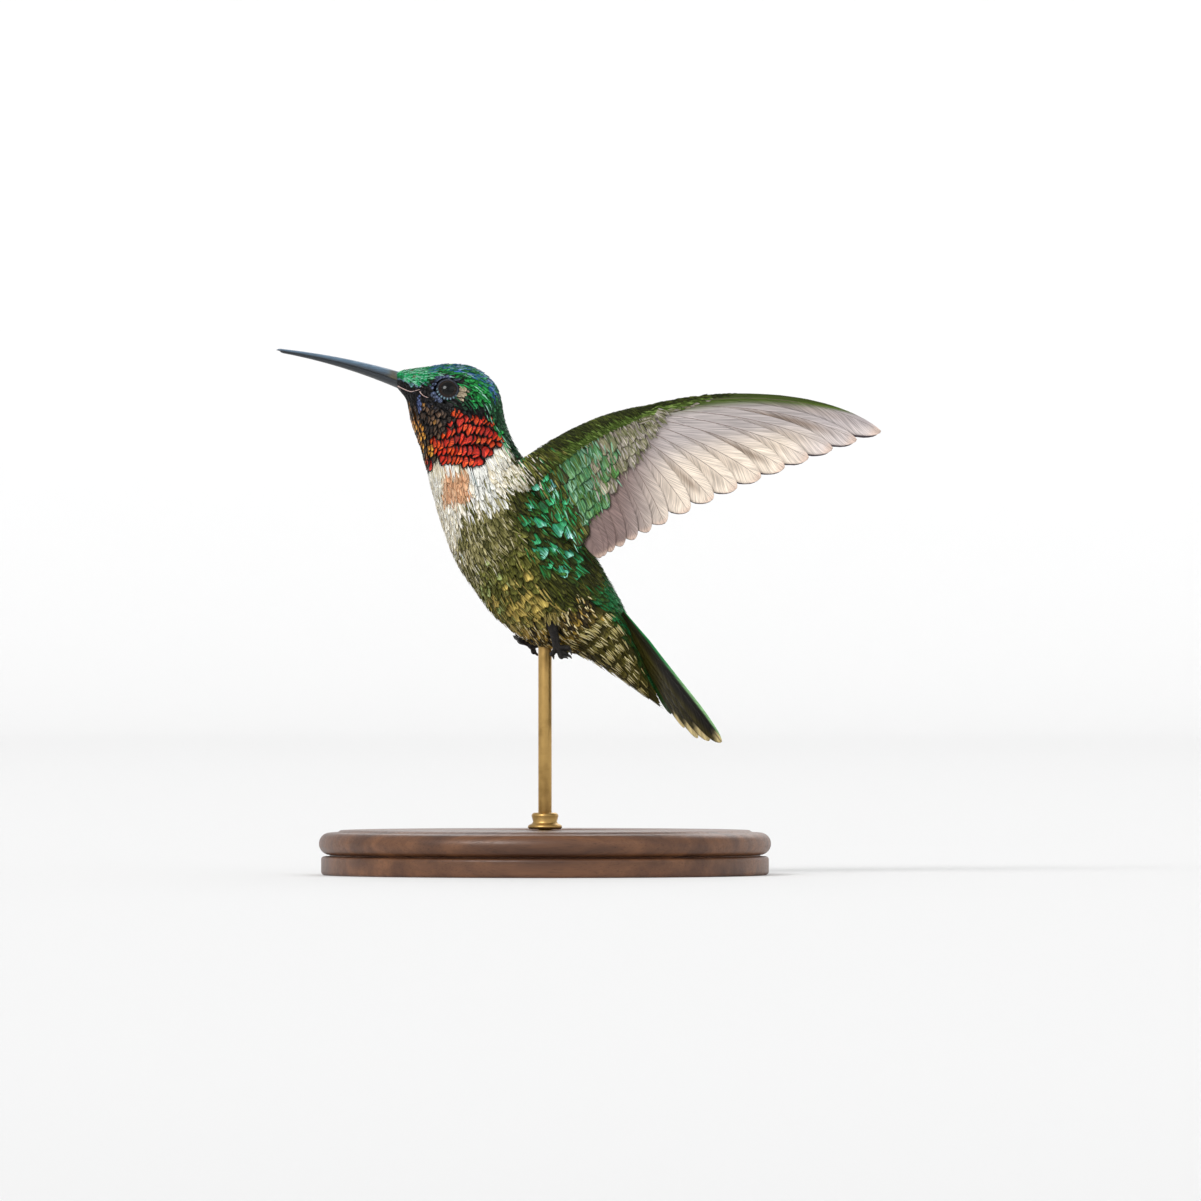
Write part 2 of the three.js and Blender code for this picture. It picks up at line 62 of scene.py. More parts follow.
# Colours are written as hex codes and used as linear values.
def paint(code):
    channels = np.array([int(code[k:k + 2], 16) for k in (0, 2, 4)]) / 255
    return np.where(channels <= 0.04045, channels / 12.92, ((channels + 0.055) / 1.055) ** 2.4)


def smooth(value, start, end):
    share = np.clip((value - start) / (end - start), 0, 1)
    return share * share * (3 - 2 * share)


def mixed(first, second, share):
    share = np.asarray(share, float)[..., None]
    return first * (1 - share) + second * share


def between(ends, share):
    return ends[0] + (ends[1] - ends[0]) * share


# Catmull-Rom through the rows of a table, at places counted in rows.
def splineAt(rows, place):
    rows = np.asarray(rows, float)
    knots = np.vstack([2 * rows[0] - rows[1], rows, 2 * rows[-1] - rows[-2]])
    slot = np.clip(np.floor(place).astype(int), 0, len(rows) - 2)
    t = (place - slot)[..., None]
    before, start, end, after = (knots[slot + k] for k in range(4))
    leave = (end - before) / 2
    arrive = (after - start) / 2
    rise = t * t * (3 - 2 * t)
    return start + (end - start) * rise + leave * t * (1 - t) ** 2 - arrive * t * t * (1 - t)


def bezierAt(base, bend, tip, t):
    return (1 - t) ** 2 * base + 2 * t * (1 - t) * bend + t * t * tip


def bezierSlope(base, bend, tip, t):
    slope = (1 - t) * (bend - base) + t * (tip - bend)
    return slope / np.linalg.norm(slope, axis=-1, keepdims=True)


# Each ring stands on a point of the back line and one of the belly line: x, z, x, z, half width.
bodyRings = {
    "bill base": (-20.0, 67.5, -19.9, 65.2, 1.25),
    "lores": (-18.2, 67.8, -18.6, 63.7, 2.7),
    "forehead": (-15.8, 68.1, -18.0, 60.8, 4.1),
    "eyes": (-12.7, 68.5, -17.0, 57.9, 4.9),
    "cheeks": (-9.2, 67.9, -16.3, 55.7, 5.2),
    "hind head": (-6.4, 65.3, -15.7, 53.5, 5.3),
    "nape": (-5.3, 60.7, -14.9, 50.7, 5.5),
    "neck": (-3.8, 57.2, -13.7, 46.5, 6.3),
    "shoulders": (-1.2, 53.5, -11.9, 41.9, 7.2),
    "breast": (2.4, 48.8, -9.5, 38.3, 7.5),
    "belly": (5.8, 44.2, -6.4, 34.3, 6.9),
    "vent": (8.4, 39.8, -1.3, 30.8, 5.6),
    "rump": (10.3, 36.3, 4.4, 29.5, 4.4),
    "tail coverts": (11.9, 32.6, 9.2, 26.8, 3.3),
    "covert tips": (14.1, 26.7, 14.3, 23.3, 1.2),
}
ringTable = np.array(list(bodyRings.values()))
lastRing = len(ringTable) - 1


# The body's surface. place counts rings from the bill, angle turns from the back line over the
# right side to the belly line, and lift is how far the point stands off the surface.
def bodyPoint(place, angle, lift):
    place, angle, lift = np.broadcast_arrays(place, angle, lift)
    backX, backZ, bellyX, bellyZ, halfWidth = np.moveaxis(splineAt(ringTable, place), -1, 0)
    upX = (backX - bellyX) / 2
    upZ = (backZ - bellyZ) / 2
    half = np.hypot(upX, upZ)
    reach = (half + lift) / half * np.cos(angle)
    x = (backX + bellyX) / 2 + upX * reach
    z = (backZ + bellyZ) / 2 + upZ * reach
    return np.stack([x, (halfWidth + lift) * np.sin(angle), z], -1)


# Millimetres that the surface moves for one unit of each of its two coordinates.
def paces(surface, p, q):
    step = 1e-3
    alongP = (surface(p + step, q, 0.0 * p) - surface(p - step, q, 0.0 * p)) / (2 * step)
    alongQ = (surface(p, q + step, 0.0 * p) - surface(p, q - step, 0.0 * p)) / (2 * step)
    return alongP, alongQ


def paceAlong(surface, p, q):
    return np.linalg.norm(paces(surface, p, q)[0], axis=-1)


# A grid of columns and rows, each vertex put where shape says for its share across and along.
# A wrapped one is a closed tube with its ends filled.
def sheet(columns, rows, shape, wrapped=True):
    bm = bmesh.new()
    bmesh.ops.create_grid(bm, x_segments=columns, y_segments=rows, size=0.5)
    grid = np.array([vert.co for vert in bm.verts])
    points = shape(grid[:, 0] + 0.5, grid[:, 1] + 0.5) * mm
    for vert, point in zip(bm.verts, points):
        vert.co = point
    if wrapped:
        bmesh.ops.remove_doubles(bm, verts=bm.verts[:], dist=1e-7)
        bmesh.ops.holes_fill(bm, edges=bm.edges[:], sides=0)
    bmesh.ops.recalc_face_normals(bm, faces=bm.faces[:])
    return bm


# A round tube through a few points, each with its radius.
def tubeShape(points, radii):
    points = np.array(points, float)
    sideways = np.array([0.0, 1.0, 0.0])

    def shape(across, along):
        place = along * (len(points) - 1)
        centre = splineAt(points, place)
        ahead = splineAt(points, np.minimum(place + 0.01, len(points) - 1))
        slope = ahead - splineAt(points, np.maximum(place - 0.01, 0))
        first = np.cross(slope, sideways)
        first /= np.linalg.norm(first, axis=-1, keepdims=True)
        second = np.cross(slope, first)
        second /= np.linalg.norm(second, axis=-1, keepdims=True)
        radius = np.interp(place, np.arange(len(radii)), radii)
        angle = across * 2 * math.pi
        return centre + first * (np.cos(angle) * radius)[:, None] + second * (np.sin(angle) * radius)[:, None]
    return shape


def joinMeshes(bm, extra):
    mesh = bpy.data.meshes.new("joining")
    extra.to_mesh(mesh)
    extra.free()
    bm.from_mesh(mesh)
    bpy.data.meshes.remove(mesh)


def objectFrom(name, bm):
    mesh = bpy.data.meshes.new(name)
    bm.to_mesh(mesh)
    bm.free()
    mesh.shade_smooth()
    piece = bpy.data.objects.new(name, mesh)
    bpy.context.scene.collection.objects.link(piece)
    return piece


# Applies a piece's modifiers, so that its mesh is the finished one.
def applied(piece):
    depsgraph = bpy.context.evaluated_depsgraph_get()
    mesh = bpy.data.meshes.new_from_object(piece.evaluated_get(depsgraph))
    piece.modifiers.clear()
    piece.data = mesh
    mesh.shade_smooth()
    return piece


def settle(piece, material, slotName, *nodes):
    piece.data.materials.clear()
    piece.data.materials.append(material)
    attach(piece, "root")
    if nodes:
        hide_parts(*nodes)
    return piece


def addAttribute(mesh, name, kind, values):
    field = {"FLOAT": "value", "FLOAT_COLOR": "color"}[kind]
    if kind == "FLOAT_COLOR":
        values = np.concatenate([values, np.ones((len(values), 1))], 1)
    layer = mesh.attributes.new(name, kind, "POINT")
    layer.data.foreach_set(field, np.ascontiguousarray(values, np.float32).ravel())


# A thin closed blank, from which every vane is shaped: u across from -1 to 1, v along from 0 to 1,
# and under is 1 on the underside.
def vaneBlank(columns, rows):
    bm = bmesh.new()
    bmesh.ops.create_grid(bm, x_segments=columns, y_segments=rows, size=1)
    bmesh.ops.solidify(bm, geom=bm.faces[:], thickness=1)
    bmesh.ops.recalc_face_normals(bm, faces=bm.faces[:])
    co = np.array([vert.co for vert in bm.verts])
    loops = [[vert.index for vert in face.verts] for face in bm.faces]
    bm.free()
    return {
        "u": co[:, 0],
        "v": (co[:, 1] + 1) / 2,
        "under": 1.0 * (co[:, 2] < -0.5),
        "column": np.rint((co[:, 0] + 1) / 2 * columns).astype(int),
        "loops": np.array([index for face in loops for index in face]),
        "starts": np.cumsum([0] + [len(face) for face in loops[:-1]]),
    }


# Joins many copies of a blank into one mesh. points is copies x vertices x 3.
def joinVanes(name, blank, points, attributes, bakeMap):
    copies, corners = points.shape[:2]
    loops = blank["loops"][None, :] + (np.arange(copies) * corners)[:, None]
    first = points[:, blank["loops"][blank["starts"]]]
    second = points[:, blank["loops"][blank["starts"] + 1]]
    third = points[:, blank["loops"][blank["starts"] + 2]]
    middle = points.mean(axis=1, keepdims=True)
    volume = np.einsum("ijk,ijk->", first - middle, np.cross(second - middle, third - middle))
    if volume < 0:  # the surface's two coordinates turn the blank inside out
        ends = np.append(blank["starts"][1:], len(blank["loops"]))
        order = np.concatenate([np.arange(a, b)[::-1] for a, b in zip(blank["starts"], ends)])
        loops = loops[:, order]
    else:
        order = np.arange(len(blank["loops"]))
    starts = blank["starts"][None, :] + (np.arange(copies) * len(blank["loops"]))[:, None]
    mesh = bpy.data.meshes.new(name)
    mesh.vertices.add(copies * corners)
    mesh.vertices.foreach_set("co", (points * mm).astype(np.float32).ravel())
    mesh.loops.add(loops.size)
    mesh.loops.foreach_set("vertex_index", loops.astype(np.int32).ravel())
    mesh.polygons.add(starts.size)
    mesh.polygons.foreach_set("loop_start", starts.astype(np.int32).ravel())
    mesh.update(calc_edges=True)
    corner = blank["loops"][order]
    vane = np.stack([(blank["u"] + 1) / 2, blank["v"]], -1)[corner]
    maps = {"OFBake": bakeMap[:, corner], "vane": np.broadcast_to(vane, (copies,) + vane.shape)}
    for mapName, places in maps.items():
        layer = mesh.uv_layers.new(name=mapName)
        layer.uv.foreach_set("vector", np.ascontiguousarray(places, np.float32).ravel())
    for key, values in attributes.items():
        coloured = key in ("tint", "heart", "rim")
        if values.ndim == 1 + coloured:  # one value for the whole vane
            values = np.repeat(values[:, None], corners, axis=1)
        flat = values.reshape((-1, 3) if coloured else -1)
        addAttribute(mesh, key, "FLOAT_COLOR" if coloured else "FLOAT", flat)
    mesh.shade_smooth()
    piece = bpy.data.objects.new(name, mesh)
    bpy.context.scene.collection.objects.link(piece)
    return piece


def put(tree, kind, **settings):
    node = tree.nodes.new(kind)
    for key, value in settings.items():
        setattr(node, key, value)
    return node


def feed(tree, socket, value):
    if isinstance(value, bpy.types.NodeSocket):
        tree.links.new(value, socket)
    elif hasattr(socket.default_value, "__len__") and len(value) == 3 and len(socket.default_value) == 4:
        socket.default_value = (*value, 1)
    else:
        socket.default_value = value


def calc(tree, operation, first, second=0.0, clamp=False):
    node = put(tree, "ShaderNodeMath", operation=operation, use_clamp=clamp)
    feed(tree, node.inputs[0], first)
    feed(tree, node.inputs[1], second)
    return node.outputs[0]


def ranged(tree, value, fromLow, fromHigh, toLow=0.0, toHigh=1.0):
    node = put(tree, "ShaderNodeMapRange", interpolation_type="SMOOTHSTEP")
    for socket, number in zip(node.inputs, (value, fromLow, fromHigh, toLow, toHigh)):
        feed(tree, socket, number)
    return node.outputs[0]


def blend(tree, share, first, second, mode="MIX"):
    node = put(tree, "ShaderNodeMix", data_type="RGBA", blend_type=mode)
    feed(tree, node.inputs[0], share)
    feed(tree, node.inputs[6], first)
    feed(tree, node.inputs[7], second)
    return node.outputs[2]


def noise(tree, vector, scale, detail=2.0, roughness=0.5):
    node = put(tree, "ShaderNodeTexNoise")
    feed(tree, node.inputs["Vector"], vector)
    feed(tree, node.inputs["Scale"], scale)
    feed(tree, node.inputs["Detail"], detail)
    feed(tree, node.inputs["Roughness"], roughness)
    return node.outputs[0]


def packed(tree, x, y, z):
    node = put(tree, "ShaderNodeCombineXYZ")
    for socket, value in zip(node.inputs, (x, y, z)):
        feed(tree, socket, value)
    return node.outputs[0]


def groupTree(name, inputs, outputs):
    tree = bpy.data.node_groups.new(name, "ShaderNodeTree")
    for socketName, value in inputs.items():
        kind = "NodeSocketFloat"
        if not isinstance(value, float):
            kind = "NodeSocketColor" if len(value) == 4 else "NodeSocketVector"
        socket = tree.interface.new_socket(socketName, in_out="INPUT", socket_type=kind)
        socket.default_value = value
    for socketName, kind in outputs.items():
        tree.interface.new_socket(socketName, in_out="OUTPUT", socket_type=kind)
    return tree, put(tree, "NodeGroupInput").outputs, put(tree, "NodeGroupOutput").inputs


grey = (0.5, 0.5, 0.5, 1.0)
vaneOutputs = {"Color": "NodeSocketColor", "Height": "NodeSocketFloat"}

# Where a point lies on its vane: along it, across it from -1 to 1, and how far out from its shaft.
def vanePlace(tree, vane):
    parts = put(tree, "ShaderNodeSeparateXYZ")
    feed(tree, parts.inputs[0], vane)
    centred = calc(tree, "SUBTRACT", calc(tree, "MULTIPLY", parts.outputs[0], 2.0), 1.0)
    return parts.outputs[1], centred, calc(tree, "ABSOLUTE", centred)


def scaled(tree, colour, factor):
    node = put(tree, "ShaderNodeVectorMath", operation="SCALE")
    feed(tree, node.inputs[0], colour)
    feed(tree, node.inputs["Scale"], factor)
    return node.outputs[0]


# The small body vane: a heart colour painted as each vane's highlight, a rim colour that is partly the vane's own edge
# and partly painted shade in the gaps between vanes, and fine barbs that run along it or slant out from it.
def makeVaneGroup():
    inputs = {
        "Vane": (0.0, 0.0, 0.0), "Tint": grey, "Heart": grey, "Rim": grey, "Seed": 0.0,
        "Heart Size": 0.4, "Rim Width": 0.2, "Side Rim": 1.0, "Barbs": 8.0, "Slant": 0.4, "Contrast": 0.5,
    }
    tree, given, result = groupTree("plumageVane", inputs, vaneOutputs)
    along, centred, side = vanePlace(tree, given["Vane"])
    tipward = calc(tree, "POWER", ranged(tree, along, 0.45, 1.0), 3.0)
    sideward = calc(tree, "MULTIPLY", calc(tree, "POWER", side, 1.6), given["Side Rim"])
    outward = calc(tree, "MAXIMUM", sideward, tipward)
    rimStart = calc(tree, "SUBTRACT", 1.0, given["Rim Width"])
    rimFull = calc(tree, "SUBTRACT", 1.0, calc(tree, "MULTIPLY", given["Rim Width"], 0.6))
    # rimMask: the rim colour on the sides and tip; where that colour is dark it is partly painted shade between vanes
    rimMask = ranged(tree, outward, rimStart, rimFull)
    # heartMask: the painted highlight, round a spot in the middle near the tip
    ahead = calc(tree, "MULTIPLY", calc(tree, "SUBTRACT", along, 0.78), 2.0)
    apart = calc(tree, "ADD", calc(tree, "POWER", side, 2.0), calc(tree, "POWER", ahead, 2.0))
    heartMask = ranged(tree, calc(tree, "SQRT", apart), given["Heart Size"], 0.05)
    barbAlong = calc(tree, "MULTIPLY", centred, given["Barbs"])
    slanted = calc(tree, "SUBTRACT", calc(tree, "MULTIPLY", along, 2.2), side)
    barbOut = calc(tree, "MULTIPLY", slanted, given["Barbs"])
    spread = put(tree, "ShaderNodeMix", data_type="FLOAT")
    feed(tree, spread.inputs[0], given["Slant"])
    feed(tree, spread.inputs[2], barbAlong)
    feed(tree, spread.inputs[3], barbOut)
    length = calc(tree, "MULTIPLY", along, 1.4)
    place = packed(tree, spread.outputs[0], length, calc(tree, "MULTIPLY", given["Seed"], 91.0))
    barbs = ranged(tree, noise(tree, place, 1.0, 1.5), 0.3, 0.7)
    heartMask = calc(tree, "MULTIPLY", heartMask, ranged(tree, barbs, 0.1, 0.8, 0.3, 1.0))
    tone = blend(tree, heartMask, given["Tint"], given["Heart"])
    tone = blend(tree, rimMask, tone, given["Rim"])
    light = calc(tree, "SUBTRACT", barbs, 0.5)
    light = calc(tree, "ADD", calc(tree, "MULTIPLY", light, given["Contrast"]), 1.0)
    feed(tree, result["Color"], scaled(tree, tone, light))
    shaft = ranged(tree, side, 0.14, 0.0)
    feed(tree, result["Height"], calc(tree, "ADD", barbs, shaft))
    return tree


# The large flight vane: a pale or dark shaft and close slanting barbs over a painted ground.
def makeFlightGroup():
    inputs = {
        "Vane": (0.0, 0.0, 0.0), "Tint": grey, "Shaft": grey, "Seed": 0.0,
        "Barbs": 90.0, "Slant": 0.12, "Contrast": 0.3, "Shaft Width": 0.07,
    }
    tree, given, result = groupTree("flightVane", inputs, vaneOutputs)
    along, centred, side = vanePlace(tree, given["Vane"])
    slanted = calc(tree, "SUBTRACT", along, calc(tree, "MULTIPLY", side, given["Slant"]))
    barbPlace = calc(tree, "MULTIPLY", slanted, given["Barbs"])
    shift = calc(tree, "MULTIPLY", given["Seed"], 53.0)
    fine = noise(tree, packed(tree, barbPlace, centred, shift), 1.0, 1.0)
    patch = calc(tree, "MULTIPLY", barbPlace, 0.22)
    broad = noise(tree, packed(tree, patch, calc(tree, "MULTIPLY", side, 1.5), shift), 1.0, 1.0)
    barbs = ranged(tree, fine, 0.3, 0.7)
    cloud = ranged(tree, broad, 0.3, 0.7)
    shade = calc(tree, "ADD", calc(tree, "MULTIPLY", barbs, 0.7), calc(tree, "MULTIPLY", cloud, 0.3))
    light = calc(tree, "MULTIPLY", calc(tree, "SUBTRACT", shade, 0.5), given["Contrast"])
    tone = scaled(tree, given["Tint"], calc(tree, "ADD", light, 1.0))
    shaftMask = ranged(tree, side, given["Shaft Width"], 0.0)
    feed(tree, result["Color"], blend(tree, shaftMask, tone, given["Shaft"]))
    feed(tree, result["Height"], calc(tree, "ADD", barbs, shaftMask))
    return tree


vaneGroup = makeVaneGroup()
flightGroup = makeFlightGroup()


def newMaterial(name, **settings):
    material = bpy.data.materials.new(name)
    material.use_nodes = True
    tree = material.node_tree
    shader = tree.nodes["Principled BSDF"]
    for key, value in settings.items():
        feed(tree, shader.inputs[key], value)
    return material, tree, shader


def attributeOf(tree, name, output):
    return put(tree, "ShaderNodeAttribute", attribute_name=name).outputs[output]


def objectPlace(tree):
    return put(tree, "ShaderNodeTexCoord").outputs["Object"]


def stretched(tree, where, scale):
    node = put(tree, "ShaderNodeMapping")
    feed(tree, node.inputs["Vector"], where)
    feed(tree, node.inputs["Scale"], scale)
    return node.outputs[0]


def bumpInto(tree, shader, height, distance, strength=1.0):
    bump = put(tree, "ShaderNodeBump")
    feed(tree, bump.inputs["Height"], height)
    feed(tree, bump.inputs["Distance"], distance)
    feed(tree, bump.inputs["Strength"], strength)
    tree.links.new(bump.outputs[0], shader.inputs["Normal"])


# Gives a shader its tone, and a roughness and bump that follow a grain.
def surfaced(tree, shader, tone, grain, rough, bump=0.0, strength=1.0):
    feed(tree, shader.inputs["Base Color"], tone)
    feed(tree, shader.inputs["Roughness"], ranged(tree, grain, 0.3, 0.7, *rough))
    if bump:
        bumpInto(tree, shader, grain, bump, strength)


def plumageMaterial(name, spec):
    gloss = {"Sheen Weight": spec["sheen"], "Sheen Roughness": 0.4, "Specular IOR Level": spec["specular"]}
    material, tree, shader = newMaterial(name, **gloss)
    group = put(tree, "ShaderNodeGroup", node_tree=vaneGroup)
    feed(tree, group.inputs["Vane"], put(tree, "ShaderNodeUVMap", uv_map="vane").outputs[0])
    for field in ("Tint", "Heart", "Rim"):
        feed(tree, group.inputs[field], attributeOf(tree, field.lower(), "Color"))
    feed(tree, group.inputs["Seed"], attributeOf(tree, "seed", "Fac"))
    for field in ("Heart Size", "Rim Width", "Side Rim", "Barbs", "Slant", "Contrast"):
        feed(tree, group.inputs[field], spec[field])
    feed(tree, shader.inputs["Base Color"], group.outputs["Color"])
    rough = ranged(tree, group.outputs["Height"], 0.0, 1.0, spec["rough"][1], spec["rough"][0])
    feed(tree, shader.inputs["Roughness"], rough)
    if spec["shiny"]:
        feed(tree, shader.inputs["Metallic"], attributeOf(tree, "shine", "Fac"))
    bumpInto(tree, shader, group.outputs["Height"], 0.00003, 0.6)
    return material


scaly = {
    "Heart Size": 0.75, "Rim Width": 0.25, "Side Rim": 1.0, "Barbs": 5.0, "Slant": 0.7, "Contrast": 0.9,
    "rough": (0.36, 0.58), "specular": 0.3, "sheen": 0.0, "shiny": True,
}
jewelled = {**scaly, "Heart Size": 0.95, "Rim Width": 0.7, "Barbs": 6.0, "Contrast": 0.7, "rough": (0.42, 0.62)}
broad = {
    **scaly, "Heart Size": 0.9, "Rim Width": 0.3, "Barbs": 9.0, "Slant": 0.12, "Contrast": 1.1, "rough": (0.45, 0.65),
}
downy = {
    "Heart Size": 0.6, "Rim Width": 0.3, "Side Rim": 1.0, "Barbs": 4.5, "Slant": 0.12, "Contrast": 0.9,
    "rough": (0.6, 0.8), "specular": 0.2, "sheen": 0.03, "shiny": False,
}
barred = {**downy, "Rim Width": 0.8, "Side Rim": 0.1, "Barbs": 7.0, "Contrast": 0.8}
single = {**downy, "Barbs": 1.5, "Contrast": 0.4, "Rim Width": 0.1}
iridescentPlumage = plumageMaterial("iridescentPlumage", scaly)
gorgetPlumage = plumageMaterial("gorgetPlumage", jewelled)
squarePlumage = plumageMaterial("squarePlumage", broad)
softPlumage = plumageMaterial("softPlumage", downy)
barredPlumage = plumageMaterial("barredPlumage", barred)
strandPlumage = plumageMaterial("strandPlumage", single)
print("plumage materials made")


# Lines on the body. Places count rings from the bill, and front is 0 on the back and 1 on the belly.
marks = {
    "crownEdge": (
        (0.0, 0.3), (0.6, 0.42), (1.6, 0.39), (2.3, 0.26), (3.0, 0.14), (3.8, 0.15),
        (4.6, 0.24), (5.2, 0.17), (5.8, 0.09), (6.5, 0.05), (7.4, 0.05),
    ),
    "gorgetTop": (
        (1.2, 1.0), (1.6, 0.85), (2.06, 0.64), (3.0, 0.55), (4.15, 0.46), (4.81, 0.37),
        (5.39, 0.24), (5.96, 0.07), (6.6, 0.03),
    ),
    "gorgetEnd": (
        (0.0, 6.4), (0.06, 6.6), (0.18, 6.75), (0.34, 6.7), (0.49, 6.5), (0.68, 5.8),
        (0.85, 5.35), (1.0, 4.95),
    ),
    "brownEnd": ((0.35, 4.0), (0.45, 4.3), (0.6, 4.6), (0.76, 4.4), (0.84, 3.7)),
    "chinDots": ((-16.9, 63.9), (-16.85, 63.05), (-16.8, 62.25)),  # x and z
    "peach": ((-13.8, -10.2), (49.9, 53.7)),  # between two x and two z
    "collarEnd": (
        (0.0, 6.9), (0.05, 7.1), (0.11, 7.4), (0.34, 7.6), (0.5, 7.45), (0.66, 7.3),
        (0.8, 7.25), (0.9, 7.55), (1.0, 7.9),
    ),
}


def markLine(name, value):
    knots, levels = zip(*marks[name])
    return np.interp(value, knots, levels)


